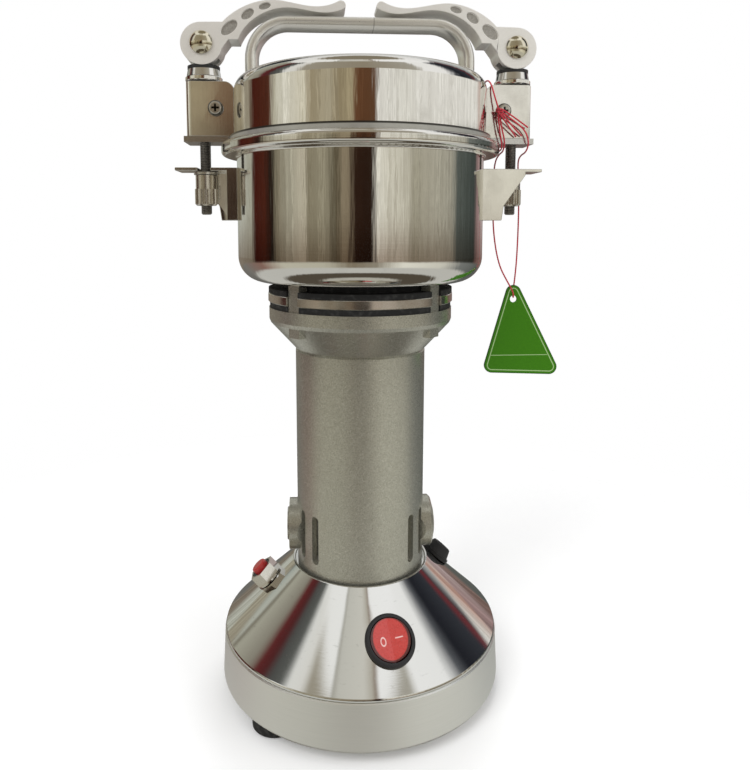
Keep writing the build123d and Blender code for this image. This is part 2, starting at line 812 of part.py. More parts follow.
with BuildPart() as armature_windings:
    for z, align in ((armature_z, DOWN), (armature_top, UP)):
        with Locations((0, 0, z)):
            Cylinder(winding_radius, winding_overhang, align=align)
            Cylinder(shaft_radius + 1, winding_overhang, align=align, mode=Mode.SUBTRACT)
    for rim in (0, -1):
        ends = armature_windings.edges().filter_by(GeomType.CIRCLE).group_by(Axis.Z)[rim]
        fillet(ends.sort_by(SortBy.RADIUS)[-1], radius=3)
    with PolarLocations(armature_radius - slot_inset, armature_slots):
        with Locations((0, 0, armature_z)):
            Cylinder(slot_radius - FIT, armature_length, align=UP)
save(armature_windings.part, "armature_windings")

with BuildPart() as commutator:
    with Locations((0, 0, brush_z)):
        Cylinder(commutator_radius, commutator_length)
        Cylinder(shaft_radius, commutator_length, mode=Mode.SUBTRACT)
        with PolarLocations(commutator_radius, commutator_bars, start_angle=15):
            Box(2.4, 0.6, commutator_length, mode=Mode.SUBTRACT)
save(commutator.part, "commutator")

fan_z = armature_top + winding_overhang + 2
fan_hub = shaft_radius + 2.5

with BuildPart() as cooling_fan:
    with Locations((0, 0, fan_z)):
        Cylinder(fan_radius, 1.2, align=UP)
        Cylinder(fan_hub, fan_height, align=UP)
        with PolarLocations((fan_radius + fan_hub) / 2 - 0.5, fan_blades):
            Box(fan_radius - fan_hub, 1.0, fan_height, align=UP)
        Cylinder(shaft_radius, fan_height, align=UP, mode=Mode.SUBTRACT)
save(cooling_fan.part, "cooling_fan")

# ================================================================= Brushes

brush_inner = commutator_radius + brush_gap
cap_seat = boss_reach - cap_thickness + 1
spring_length = cap_seat - brush_inner - brush_length

with BuildPart() as brush_holders:
    for end in (1, -1):
        with Locations(Plane(origin=(end * (brush_inner + 1), 0, brush_z), z_dir=(end, 0, 0))):
            Cylinder(holder_radius, cap_seat - brush_inner - 1, align=UP)
            Box(brush_width + 2 * FIT, brush_height + 2 * FIT, 4 * brush_length, mode=Mode.SUBTRACT)
save(brush_holders.part, "brush_holders")

with BuildPart() as carbon_brushes:
    for end in (1, -1):
        with Locations(Plane(origin=(end * brush_inner, 0, brush_z), z_dir=(end, 0, 0))):
            Box(brush_width, brush_height, brush_length, align=UP)
save(carbon_brushes.part, "carbon_brushes")

coil_length = spring_length - 2 * spring_wire

with BuildPart(mode=Mode.PRIVATE) as brush_spring:
    with BuildLine():
        coil = Helix(coil_length / spring_turns, coil_length, spring_radius)
    with BuildSketch(Plane(origin=coil @ 0, z_dir=coil % 0)):
        Circle(spring_wire)
    sweep(is_frenet=True)

with BuildPart() as brush_springs:
    for end in (1, -1):
        seat = end * (brush_inner + brush_length + spring_wire)
        with Locations(Plane(origin=(seat, 0, brush_z), z_dir=(end, 0, 0))):
            add(brush_spring.part)
save(brush_springs.part, "brush_springs")

with BuildPart() as brush_caps:
    for end in (1, -1):
        with Locations(Plane(origin=(end * cap_seat, 0, brush_z), z_dir=(end, 0, 0))):
            Cylinder(cap_radius, cap_thickness, align=UP)
            with Locations((0, 0, cap_thickness)):
                Box(1.6 * cap_radius, cap_slot, cap_slot, align=DOWN, mode=Mode.SUBTRACT)
save(brush_caps.part, "brush_caps")

# ================================================================= End plate and gaskets

notch_bottom = post_outer - post_depth - PASS
notch_width = post_width + 2 * PASS


def cut_notches(z, height):
    """Clear the four posts out of a plate."""
    for azimuth in (post_azimuth, -post_azimuth):
        with around(2, notch_bottom, azimuth), Locations((0, 0, z)):
            Box(rim_radius, notch_width, height, align=(Align.MIN, Align.CENTER, Align.MIN),
                mode=Mode.SUBTRACT)


with BuildPart() as plate_gaskets:
    with Locations((0, 0, rim_top)):
        Cylinder(end_plate_radius - 0.8, gap_under_plate, align=UP)
    cut_notches(rim_top, gap_under_plate)
    with Locations((0, 0, end_plate_top)):
        Cylinder(end_plate_radius - 0.2, gasket_thickness, align=UP)
    cut_notches(end_plate_top, gasket_thickness)
    with Locations((0, 0, end_plate_top)):
        Cylinder(notch_bottom - 0.2, bowl_gap, align=UP)
    with Locations((0, 0, rim_top)):
        Cylinder(end_plate_bore, bowl_z - rim_top, align=UP, mode=Mode.SUBTRACT)
save(plate_gaskets.part, "plate_gaskets")

with BuildPart() as end_plate:
    with Locations((0, 0, end_plate_z)):
        Cylinder(end_plate_radius, end_plate_thickness, align=UP)
        Cylinder(end_plate_bore, end_plate_thickness, align=UP, mode=Mode.SUBTRACT)
    chamfer(end_plate.edges().filter_by(GeomType.CIRCLE).group_by(SortBy.RADIUS)[-1], length=0.4)
    cut_notches(end_plate_z, end_plate_thickness)
save(end_plate.part, "end_plate")

# ================================================================= Bowl

bowl_bore = bowl_radius - bowl_wall
hub_hole = hub_radius + FIT

with BuildPart() as bowl:
    with BuildSketch(Plane.XZ) as bowl_profile:
        with BuildLine():
            Polyline(
                (hub_hole, bowl_z),
                (bowl_radius, bowl_z),
                (bowl_radius, bead_z),
                (bead_radius, bead_z),
                (bead_radius, bowl_top),
                (bowl_bore, bowl_top),
                (bowl_bore, bowl_floor),
                (hub_hole, bowl_floor),
                close=True,
            )
        make_face()
        fillet(corner(bowl_profile, bowl_radius, bowl_z), radius=bowl_corner)
        fillet(corner(bowl_profile, bowl_bore, bowl_floor), radius=bowl_corner - bowl_wall)
        fillet(corner(bowl_profile, bead_radius, bead_z), radius=bead_round)
        fillet(corner(bowl_profile, bead_radius, bowl_top), radius=bead_round)
        fillet(corner(bowl_profile, bowl_radius, bead_z), radius=1.0)
    revolve(axis=Axis.Z)
    for azimuth in (post_azimuth, -post_azimuth):
        with around(2, post_ring, azimuth), Locations((0, 0, bowl_z)):
            Cylinder(M3 + FIT, bowl_wall, align=UP, mode=Mode.SUBTRACT)
save(bowl.part, "bowl")

with BuildPart() as bowl_screws:
    for azimuth in (post_azimuth, -post_azimuth):
        with around(2, post_ring, azimuth), Locations((0, 0, bowl_floor)):
            add(pan_screw(M3_HEAD, M3_HEAD_H, M3, bowl_wall + bowl_screw_grip), rotation=(180, 0, 0))
save(bowl_screws.part, "bowl_screws")

with BuildPart() as seal_hub:
    with Locations((0, 0, bowl_floor)):
        Cylinder(hub_radius, hub_depth, align=DOWN)
        Cylinder(hub_flange, hub_flange_thickness, align=UP)
    chamfer(seal_hub.edges().group_by(Axis.Z)[-1], length=0.8)
    with Locations((0, 0, bowl_floor)):
        Cylinder(upper_journal + 1, 3 * hub_depth, mode=Mode.SUBTRACT)
    with Locations((0, 0, bowl_floor - 4)):
        Cylinder(seal_radius, hub_depth, align=DOWN, mode=Mode.SUBTRACT)
save(seal_hub.part, "seal_hub")

with BuildPart() as shaft_seal:
    with Locations((0, 0, bowl_floor - 4)):
        Cylinder(seal_radius, seal_height, align=DOWN)
        Cylinder(upper_journal + 2 * RUN, seal_height, align=DOWN, mode=Mode.SUBTRACT)
save(shaft_seal.part, "shaft_seal")

with BuildPart() as seal_nut:
    with BuildSketch(Plane.XY.offset(bowl_z - seal_nut_thickness)):
        RegularPolygon(seal_nut_radius, 6, major_radius=False)
        Circle(hub_radius + FIT, mode=Mode.SUBTRACT)
    extrude(amount=seal_nut_thickness)
save(seal_nut.part, "seal_nut")

# ================================================================= Blades

# Each blade is a bar of strip steel. The upper one's ends are bent up, and each end has its
# cutting edge ground along its leading side.
bevel_width = 3.5
bevel_flat = 0.5
washer_height = 1.0
lower_blade_z = blade_z + washer_height
upper_blade_z = lower_blade_z + blade_thickness + spacer_height


def blade_half(z, reach, rise):
    """The half of a blade that points to +X."""
    bend = 0.55 * reach

    slope = Vector(reach - bend, 0, rise)
    edge_plane = Plane(origin=(bend, blade_width / 2, z), x_dir=(0, -1, 0), z_dir=slope)
    bevel_rise = (blade_thickness - bevel_flat) / bevel_width

    with BuildPart(mode=Mode.PRIVATE) as half:
        with BuildSketch(Plane.XZ):
            with BuildLine():
                Polyline(
                    (0, z),
                    (bend, z),
                    (reach, z + rise),
                    (reach, z + rise + blade_thickness),
                    (bend, z + blade_thickness),
                    (0, z + blade_thickness),
                    close=True,
                )
            make_face()
        extrude(amount=blade_width / 2, both=True)
        with BuildSketch(edge_plane):
            with BuildLine():
                Polyline(
                    (-1, bevel_rise - bevel_flat),
                    (bevel_width + 1, -blade_thickness - bevel_rise),
                    (-1, -blade_thickness - bevel_rise),
                    close=True,
                )
            make_face()
        extrude(amount=2 * reach, mode=Mode.SUBTRACT)
        with BuildSketch(Plane.XY.offset(z)):
            with BuildLine():
                Polyline(
                    (0, -blade_width / 2),
                    (0.5 * bend, -blade_width / 2),
                    (reach, -0.1 * blade_width),
                    (reach, blade_width / 2),
                    (0, blade_width / 2),
                    close=True,
                )
            make_face()
        extrude(amount=rise + blade_thickness, mode=Mode.INTERSECT)
    return half.part


for name, z, reach, rise, turn in (
    ("lower_blade", lower_blade_z, lower_blade_reach, 0.0, 0),
    ("upper_blade", upper_blade_z, upper_blade_reach, blade_tip_rise, 90),
):
    with BuildPart() as blade:
        half = blade_half(z, reach, rise)
        add(half, rotation=(0, 0, turn))
        add(half, rotation=(0, 0, turn + 180))
        with Locations((0, 0, z)):
            Cylinder(blade_shank, blade_thickness, align=UP, mode=Mode.SUBTRACT)
    save(blade.part, name)

with BuildPart() as blade_spacers:
    for z, height in ((lower_blade_z + blade_thickness, spacer_height), (blade_z, washer_height)):
        with Locations((0, 0, z)):
            Cylinder(spacer_radius, height, align=UP)
            Cylinder(blade_shank, height, align=UP, mode=Mode.SUBTRACT)
save(blade_spacers.part, "blade_spacers")

with BuildPart() as blade_nut:
    with BuildSketch(Plane.XY.offset(blade_nut_z)):
        RegularPolygon(blade_nut_radius, 6)
    extrude(amount=blade_nut_height)
    with Locations((0, 0, blade_nut_z)):
        Cone(blade_nut_radius + 4, blade_nut_radius - 1, blade_nut_height + 1, align=UP,
             mode=Mode.INTERSECT)
        Cylinder(blade_shank, shaft_tip - blade_nut_z, align=UP, mode=Mode.SUBTRACT)
save(blade_nut.part, "blade_nut")

# ================================================================= Lid

lid_bore = lid_radius - lid_wall
locating_radius = bowl_bore - PASS - 2 * FIT

with BuildPart() as lid:
    with BuildSketch(Plane.XZ) as lid_profile:
        with BuildLine():
            Polyline(
                (0, lid_top),
                (lid_radius, lid_top),
                (lid_radius, lid_z),
                (lid_bore, lid_z),
                (lid_bore, lid_top - lid_wall),
                (0, lid_top - lid_wall),
                close=True,
            )
        make_face()
        fillet(corner(lid_profile, lid_radius, lid_top), radius=lid_corner)
        fillet(corner(lid_profile, lid_bore, lid_top - lid_wall), radius=lid_corner - lid_wall)
    revolve(axis=Axis.Z)
    with GridLocations(2 * handle_screw_offset, 0, 2, 1), Locations((0, 0, lid_top)):
        Cylinder(M3 + FIT, 4 * lid_wall, mode=Mode.SUBTRACT)
save(lid.part, "lid")

with BuildPart() as locating_ring:
    with BuildSketch(Plane.XZ):
        with BuildLine():
            Polyline(
                (locating_radius, bowl_top - locating_depth),
                (locating_radius, lid_z),
                (lid_bore, lid_z),
                (lid_bore, lid_z + locating_wall),
                (locating_radius - locating_wall, lid_z + locating_wall),
                (locating_radius - locating_wall, bowl_top - locating_depth),
                close=True,
            )
        make_face()
    revolve(axis=Axis.Z)
save(locating_ring.part, "locating_ring")

with BuildPart() as lid_seal:
    with Locations((0, 0, lid_z)):
        Cylinder(seal_outer, seal_gap - PASS, align=DOWN)
        Cylinder(locating_radius, seal_gap, align=DOWN, mode=Mode.SUBTRACT)
save(lid_seal.part, "lid_seal")

# ================================================================= Handle

leg_foot = lid_top - 0.8 * lid_wall

with BuildPart() as handle:
    with BuildSketch(Plane.XZ) as handle_outline:
        with BuildLine():
            Polyline(
                (-handle_half, leg_foot),
                (-handle_half, handle_top),
                (handle_half, handle_top),
                (handle_half, leg_foot),
                (handle_half - handle_leg, leg_foot),
                (handle_half - handle_leg, handle_top - handle_bar),
                (handle_leg - handle_half, handle_top - handle_bar),
                (handle_leg - handle_half, leg_foot),
                close=True,
            )
        make_face()
        for end in (1, -1):
            fillet(corner(handle_outline, end * handle_half, handle_top), radius=handle_bend)
            fillet(
                corner(handle_outline, end * (handle_half - handle_leg), handle_top - handle_bar),
                radius=handle_bend - handle_bar,
            )
    extrude(amount=handle_depth / 2, both=True)
    cheeks = handle.faces().sort_by(Axis.Y)
    fillet(cheeks[0].edges() + cheeks[-1].edges(), radius=handle_edge)
    add(lid.part, mode=Mode.SUBTRACT)
    with GridLocations(2 * handle_screw_offset, 0, 2, 1), Locations((0, 0, leg_foot)):
        Cylinder(M3 + FIT, handle_screw_grip + 1, align=UP, mode=Mode.SUBTRACT)
save(handle.part, "handle")

# ================================================================= Latches

# Each latch piece is drawn on +X. The left one is the same piece, turned half a turn round the
# motor's axis.
box_top = lid_z + box_height
block_z = lid_z - lip_thickness
collar_z = box_top + washer_thickness
saddle_z = collar_z + collar_flange + collar_height
pin_z = saddle_z + saddle_floor + PASS + cam_radius + cam_offset
tab_top = bead_z - tab_drop
tab_z = tab_top - tab_thickness
rod_foot = tab_z - rod_tail
rod_hole = rod_radius + PASS
block_start = lid_bore + FIT
block_width = box_depth - 2 * box_sheet
outward = (Align.MIN, Align.CENTER)
outward_up = (Align.MIN, Align.CENTER, Align.MIN)


def on_box(side):
    """The plane of a screw's seat on the box's front, -1, or back, 1, pointing inwards."""
    origin = (box_screw_offset, side * box_depth / 2, box_top - box_screw_drop)
    return Plane(origin=origin, x_dir=(1, 0, 0), z_dir=(0, -side, 0))


box_screw_length = box_depth / 2 - rod_radius

with BuildSketch(Plane.XY.offset(block_z)) as block_plan:
    with Locations((block_start, 0)):
        Rectangle(box_reach - box_sheet - block_start, block_width, align=outward)
    fillet(block_plan.vertices().group_by(Axis.X)[-1], radius=box_bend - box_sheet)

with BuildSketch(Plane.XZ) as latch_side:
    with Locations((block_start, block_z)):
        Rectangle(box_reach, box_top - block_z, align=(Align.MIN, Align.MIN))
    fillet(corner(latch_side, block_start, box_top), radius=box_corner)

with BuildPart() as latch_box:
    with BuildSketch(Plane.XY.offset(lid_z)) as box_plan:
        with Locations((block_start, 0)):
            Rectangle(box_reach - block_start, box_depth, align=outward)
        fillet(box_plan.vertices().group_by(Axis.X)[-1], radius=box_bend)
    extrude(amount=box_height)
    extrude(block_plan.sketch, amount=2 * box_height, mode=Mode.SUBTRACT)
    extrude(latch_side.sketch, amount=box_depth, both=True, mode=Mode.INTERSECT)
    with Locations(on_box(-1), on_box(1)):
        Cylinder(M4 + FIT, 3 * box_sheet, mode=Mode.SUBTRACT)
    add(lid.part, mode=Mode.SUBTRACT)
save_both(latch_box.part, "latch_boxes")

with BuildPart() as latch_block:
    extrude(block_plan.sketch, amount=box_top - block_z)
    extrude(latch_side.sketch, amount=box_depth, both=True, mode=Mode.INTERSECT)
    with Locations((seal_outer + FIT, 0, block_z)):
        Box(lip_reach - seal_outer - FIT, box_depth, lip_thickness, align=outward_up)
    with Locations((0, 0, lid_z)):
        Cylinder(seal_outer + FIT, lip_thickness + PASS, align=DOWN, mode=Mode.SUBTRACT)
    add(lid.part, mode=Mode.SUBTRACT)
    with Locations((rod_offset, 0, block_z)):
        Cylinder(rod_radius + RUN, 2 * box_height, align=UP, mode=Mode.SUBTRACT)
    with Locations(on_box(-1), on_box(1)):
        Cylinder(M4 + FIT, box_screw_length, align=UP, mode=Mode.SUBTRACT)
save_both(latch_block.part, "latch_blocks")

with BuildPart() as lid_screws:
    with GridLocations(2 * handle_screw_offset, 0, 2, 1), Locations((0, 0, lid_top - lid_wall)):
        add(pan_screw(M3_HEAD, M3_HEAD_H, M3, lid_wall + handle_screw_grip))
    for turn in (0, 180):
        with Locations(Rotation(0, 0, turn) * on_box(-1).location,
                       Rotation(0, 0, turn) * on_box(1).location):
            add(pan_screw(M4_HEAD, M4_HEAD_H, M4, box_screw_length - FIT))
save(lid_screws.part, "lid_screws")

with BuildPart() as latch_collar:
    with Locations((rod_offset, 0, collar_z)):
        Cylinder(collar_flange_radius, collar_flange, align=UP)
    chamfer(latch_collar.edges().filter_by(GeomType.CIRCLE), length=0.4)
    with Locations((rod_offset, 0, collar_z + collar_flange)):
        Cone(collar_radius, collar_top_radius, collar_height, align=UP)
    with Locations((rod_offset, 0, collar_z)):
        Cylinder(collar_bore, collar_flange + collar_height, align=UP, mode=Mode.SUBTRACT)
save_both(latch_collar.part, "latch_collars")

# A saddle's stem goes down through the collar to the washer, so the three are one moulding.
with BuildPart() as cam_saddle:
    with Locations((rod_offset, 0, box_top)):
        Cylinder(washer_radius, washer_thickness, align=UP)
        Cylinder(collar_bore - FIT, saddle_z - box_top, align=UP)
    with Locations((rod_offset, 0, saddle_z)):
        Cylinder(saddle_radius, saddle_height, align=UP)
    with Locations((rod_offset, 0, box_top)):
        Cylinder(rod_hole, 2 * box_height, align=UP, mode=Mode.SUBTRACT)
    with Locations((rod_offset, 0, pin_z)):
        Cylinder(cam_radius + cam_offset + PASS, 3 * saddle_radius, rotation=(90, 0, 0),
                 mode=Mode.SUBTRACT)
save_both(cam_saddle.part, "cam_saddles")

with BuildPart() as latch_rod:
    with Locations((rod_offset, 0, rod_foot)):
        Cylinder(rod_radius, pin_z - rod_foot, align=UP)
    chamfer(latch_rod.edges().group_by(Axis.Z)[0], length=0.6)
    with Locations((rod_offset, 0, pin_z)):
        Cylinder(eye_radius, lever_slot - 2 * PASS, rotation=(90, 0, 0))
        Cylinder(pin_radius, lever_slot, rotation=(90, 0, 0), mode=Mode.SUBTRACT)
save_each(latch_rod.part, "latch_rod")

pin_half = lever_depth / 2 + PASS

with BuildPart() as cam_pin:
    with BuildSketch(Plane.XY.offset(pin_z)):
        with BuildLine():
            apex = (rod_offset, pin_half + pin_head_height)
            rim = (rod_offset + pin_head_radius, pin_half + pin_head_rim)
            TangentArc(apex, rim, tangent=(1, 0))
            Polyline(rim, (rim[0], pin_half), (rod_offset, pin_half), apex)
        make_face()
        mirror(about=Plane.XZ)
    revolve(axis=Axis((rod_offset, 0, pin_z), (0, 1, 0)))
    with Locations((rod_offset, 0, pin_z)):
        Cylinder(pin_radius, 2 * pin_half, rotation=(90, 0, 0))
save_each(cam_pin.part, "cam_pin")


def from_pin(place):
    """A point of the lever's outline, in the working frame."""
    return (rod_offset - place[0], pin_z + place[1])


cam_top = cam_radius - cam_offset

with BuildPart() as cam_lever:
    with BuildSketch(Plane.XZ):
        with BuildLine():
            neck = Line(from_pin((0, cam_top)), from_pin((neck_length, cam_top + neck_rise)))
            back = Spline(neck @ 1, *[from_pin(place) for place in lever_back])
            tip = ThreePointArc(back @ 1, *[from_pin(place) for place in lever_tip])
            belly = Spline(tip @ 1, *[from_pin(place) for place in lever_belly])
            Polyline(belly @ 1, *[from_pin(place) for place in lever_step], neck @ 0)
        make_face()
        with Locations(from_pin((0, -cam_offset))):
            Circle(cam_radius)
    extrude(amount=lever_depth / 2, both=True)
    for place, long_half, short_half, tilt in recesses:
        for face, depth in ((lever_depth / 2, -recess_depth), (-lever_depth / 2, recess_depth)):
            with BuildSketch(Plane.XZ.offset(face)):
                with Locations(from_pin(place)):
                    Ellipse(long_half, short_half, rotation=-tilt)
            extrude(amount=depth, mode=Mode.SUBTRACT)
    with Locations((rod_offset - lever_slot_reach, 0, pin_z)):
        Box(3 * cam_radius, lever_slot, 3 * cam_radius, mode=Mode.SUBTRACT,
            align=(Align.MIN, Align.CENTER, Align.CENTER))
    with Locations((rod_offset, 0, pin_z)):
        Cylinder(pin_radius + RUN, 2 * lever_depth, rotation=(90, 0, 0), mode=Mode.SUBTRACT)
save_each(cam_lever.part, "cam_lever")

# ---- Brackets, spot-welded to the bowl. The slot is open towards +Y on the right and -Y on the
# left, so both rods leave their slots when the lid turns anticlockwise, seen from above.
slot_half = rod_radius + PASS
# The slot's inner side leans inwards this much at its mouth, since a rod leaves it on an arc.
slot_lean = rod_offset - sqrt(rod_offset**2 - (box_depth / 2) ** 2)
bracket_z = tab_z - bracket_drop
bracket_root = (bracket_reach + bowl_radius) / 2

with BuildPart() as bowl_bracket:
    with Locations((bowl_bore, 0, bracket_z)):
        Box(bracket_reach - bowl_bore, box_depth, tab_top - bracket_z, align=outward_up)
    with Locations((bowl_bore, 0, tab_z)):
        Box(tab_reach - bowl_bore, box_depth, tab_thickness, align=outward_up)
    with BuildSketch(Plane.XZ.offset(box_depth / 2)):
        with BuildLine():
            Polyline(
                (bracket_root, bracket_z),
                (bracket_reach + gusset_foot, bracket_z),
                (bracket_reach + gusset_foot + gusset_step, bracket_z + 0.3 * bracket_drop),
                (bracket_reach + gusset_head, tab_z - tab_thickness),
                (bracket_reach + gusset_head, tab_z),
                (bracket_root, tab_z),
                close=True,
            )
        make_face()
    extrude(amount=-gusset_thickness)
    with Locations((rod_offset, 0, tab_z)):
        Cylinder(slot_half, 2 * tab_thickness, align=UP, mode=Mode.SUBTRACT)
    with BuildSketch(Plane.XY.offset(tab_z)):
        with BuildLine():
            Polyline(
                (rod_offset + slot_half, 0),
                (rod_offset + slot_half, box_depth),
                (rod_offset - slot_half - 2 * slot_lean, box_depth),
                (rod_offset - slot_half, 0),
                close=True,
            )
        make_face()
    extrude(amount=2 * tab_thickness, mode=Mode.SUBTRACT)
    with Locations((0, 0, bracket_z)):
        Cylinder(bowl_radius, 2 * bracket_drop, align=UP, mode=Mode.SUBTRACT)
save_both(bowl_bracket.part, "bowl_brackets")

washer_top = tab_z - PASS
nut_top = washer_top - nut_washer - PASS
nut_z = nut_top - nut_height
nut_bore = rod_radius + RUN

with BuildPart() as nut_washer_ring:
    with Locations((rod_offset, 0, washer_top)):
        Cylinder(nut_washer_radius, nut_washer, align=DOWN)
        Cylinder(nut_bore, nut_washer, align=DOWN, mode=Mode.SUBTRACT)
save_both(nut_washer_ring.part, "nut_washers")

with BuildPart() as knurled_nut:
    with BuildSketch(Plane((rod_offset, 0, nut_z))):
        Circle(nut_radius)
        with PolarLocations(nut_radius, knurl_teeth):
            Rectangle(knurl_depth * sqrt(2), knurl_depth * sqrt(2), rotation=45, mode=Mode.SUBTRACT)
    extrude(amount=knurl_height)
    with Locations((rod_offset, 0, nut_z)):
        Cone(nut_radius - nut_bevel, nut_radius - nut_bevel + knurl_height, knurl_height, align=UP,
             mode=Mode.INTERSECT)
    with Locations((rod_offset, 0, nut_z + knurl_height)):
        Cylinder(nut_neck_radius, nut_height - knurl_height, align=UP)
    with Locations((rod_offset, 0, nut_z)):
        Cylinder(nut_bore, nut_height, align=UP, mode=Mode.SUBTRACT)
save_each(knurled_nut.part, "knurled_nut")

# ================================================================= Hang tag and string

tag_x, tag_y = tag_centre
tag_foot = tag_top - tag_height
tag_middle = tag_x + tag_skew

with BuildPart() as hang_tag:
    with BuildSketch(Plane.XZ.offset(-tag_y)):
        for place in (
            (tag_x, tag_top - tag_corner),
            (tag_middle - tag_width / 2 + tag_corner, tag_foot + tag_corner + tag_slant),
            (tag_middle + tag_width / 2 - tag_corner, tag_foot + tag_corner),
        ):
            with Locations(place):
                Circle(tag_corner)
        make_hull()
        with Locations((tag_x, tag_top - tag_hole_drop)):
            Circle(tag_hole, mode=Mode.SUBTRACT)
    extrude(amount=tag_thickness / 2, both=True)
save(hang_tag.part, "hang_tag")


def cord(points, radius, name):
    """A round cord on straight runs joined by tangent arcs, each as large as its runs allow."""
    places = [Vector(point) for point in points]
    runs = [b - a for a, b in zip(places, places[1:])]
    bends = [
        0.45 * min(a.length, b.length) / tan(radians(a.get_angle(b)) / 2)
        for a, b in zip(runs, runs[1:])
    ]
    with BuildPart(mode=Mode.PRIVATE) as tube:
        with BuildLine() as route:
            FilletPolyline(*points, radius=bends)
        with BuildSketch(Plane(origin=points[0], z_dir=runs[0])):
            Circle(radius)
        sweep()
    length = route.wire().length
    expected = pi * radius**2 * length
    print(f"{name}: length {length:.1f}, bends {min(bends):.2f} to {max(bends):.1f}")
    print(f"{name}: volume {tube.part.volume:.2f}, expected {expected:.2f}")
    return tube.part


knot_place = (65.3, -13.0, 283.1)
string_route = (
    (66.4, -13.3, 282.6),
    (72.0, -12.2, 279.2),
    (78.6, -11.4, 274.4),
    (80.4, -11.2, 268.4),
    (80.4, -6.4, 264.6),
    (80.4, 2.4, 264.0),
    (81.4, 10.4, 261.4),
    (83.0, 12.4, 250.0),
    (83.3, 12.8, 231.0),
    (83.0, 13.4, 212.0),
    (82.4, 14.0, 202.0),
    (81.6, 14.1, 194.8),
    (81.1, 12.7, 191.8),
    (80.9, 10.7, 191.8),
    (80.3, 9.5, 194.8),
    (77.4, 9.8, 199.8),
    (72.6, 10.4, 208.8),
    (69.8, 11.0, 224.0),
    (69.2, 11.6, 240.0),
    (69.2, 11.4, 253.6),
    (69.3, 8.6, 261.8),
    (69.3, 1.2, 264.4),
    (69.2, -6.6, 265.0),
    (68.6, -11.2, 269.4),
    (66.6, -12.0, 275.6),
    (65.5, -12.5, 281.4),
)
tie_route = (
    (64.6, -13.0, 284.6),
    (63.0, -12.0, 290.2),
    (62.0, -9.6, 296.2),
    (61.6, -4.0, 299.4),
    (61.6, 4.4, 299.2),
    (62.2, 10.8, 295.0),
    (64.0, 12.4, 284.0),
    (66.4, 11.8, 272.6),
    (67.8, 10.2, 266.2),
    (68.2, 3.2, 265.4),
    (68.2, -4.0, 265.4),
    (67.6, -10.4, 266.4),
    (66.0, -12.2, 272.4),
    (65.1, -12.6, 277.8),
    (64.5, -13.0, 281.9),
)
tail_routes = (
    ((66.2, -13.6, 284.0), (72.6, -12.2, 280.6), (79.8, -10.6, 276.0)),
    ((66.0, -14.0, 282.0), (71.4, -12.4, 276.6), (77.0, -10.0, 272.0)),
    ((65.2, -14.2, 281.8), (69.6, -12.6, 276.2), (74.2, -10.2, 271.6)),
)

tag_string = cord(string_route, string_radius, "tag_string")
save(tag_string, "tag_string")

with BuildPart() as string_knot:
    with Locations(knot_place):
        Sphere(knot_radius)
    for route in (tie_route, *tail_routes):
        add(cord(route, string_radius, "string_knot"))
save(string_knot.part, "string_knot")
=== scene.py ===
import json
import math

import bmesh
import bpy
import numpy as np
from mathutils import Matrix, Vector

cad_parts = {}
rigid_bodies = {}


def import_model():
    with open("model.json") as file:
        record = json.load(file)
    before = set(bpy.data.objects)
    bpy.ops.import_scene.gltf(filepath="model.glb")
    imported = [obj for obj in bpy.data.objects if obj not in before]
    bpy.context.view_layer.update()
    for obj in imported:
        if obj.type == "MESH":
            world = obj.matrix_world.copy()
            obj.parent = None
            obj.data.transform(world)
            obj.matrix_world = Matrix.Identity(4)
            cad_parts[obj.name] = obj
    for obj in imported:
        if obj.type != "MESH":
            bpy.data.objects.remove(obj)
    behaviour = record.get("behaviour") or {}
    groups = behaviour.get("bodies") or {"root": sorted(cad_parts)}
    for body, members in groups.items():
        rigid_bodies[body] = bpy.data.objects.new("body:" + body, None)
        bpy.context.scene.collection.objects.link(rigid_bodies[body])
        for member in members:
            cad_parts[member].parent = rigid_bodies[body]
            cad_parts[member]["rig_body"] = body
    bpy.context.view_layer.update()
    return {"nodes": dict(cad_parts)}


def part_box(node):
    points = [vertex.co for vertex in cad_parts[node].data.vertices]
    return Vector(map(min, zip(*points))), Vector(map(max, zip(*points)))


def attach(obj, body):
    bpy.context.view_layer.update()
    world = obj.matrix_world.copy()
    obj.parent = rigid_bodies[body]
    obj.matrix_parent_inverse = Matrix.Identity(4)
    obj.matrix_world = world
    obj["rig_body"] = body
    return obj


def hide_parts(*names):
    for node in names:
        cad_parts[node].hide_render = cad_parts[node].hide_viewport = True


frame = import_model()
nodes = frame["nodes"]

# ---------------------------------------------------------------- Camera
# A short lens stands close to the mill, a little above its middle, and looks slightly down on it.
# Its shift keeps the base in view, as a shift lens does.
look_down, look_left = math.radians(5.5), math.radians(3.64)
lens = bpy.data.cameras.new("camera")
lens.lens = 32.2
lens.shift_x = 0.0227
lens.shift_y = -0.124
lens.clip_start = 0.01
camera = bpy.data.objects.new("camera", lens)
camera.location = (-0.0230, -0.3408, 0.2303)
camera.rotation_euler = (math.pi / 2 - look_down, 0, -look_left)
bpy.context.scene.collection.objects.link(camera)
bpy.context.scene.camera = camera
bpy.context.scene.view_settings.view_transform = "Standard"


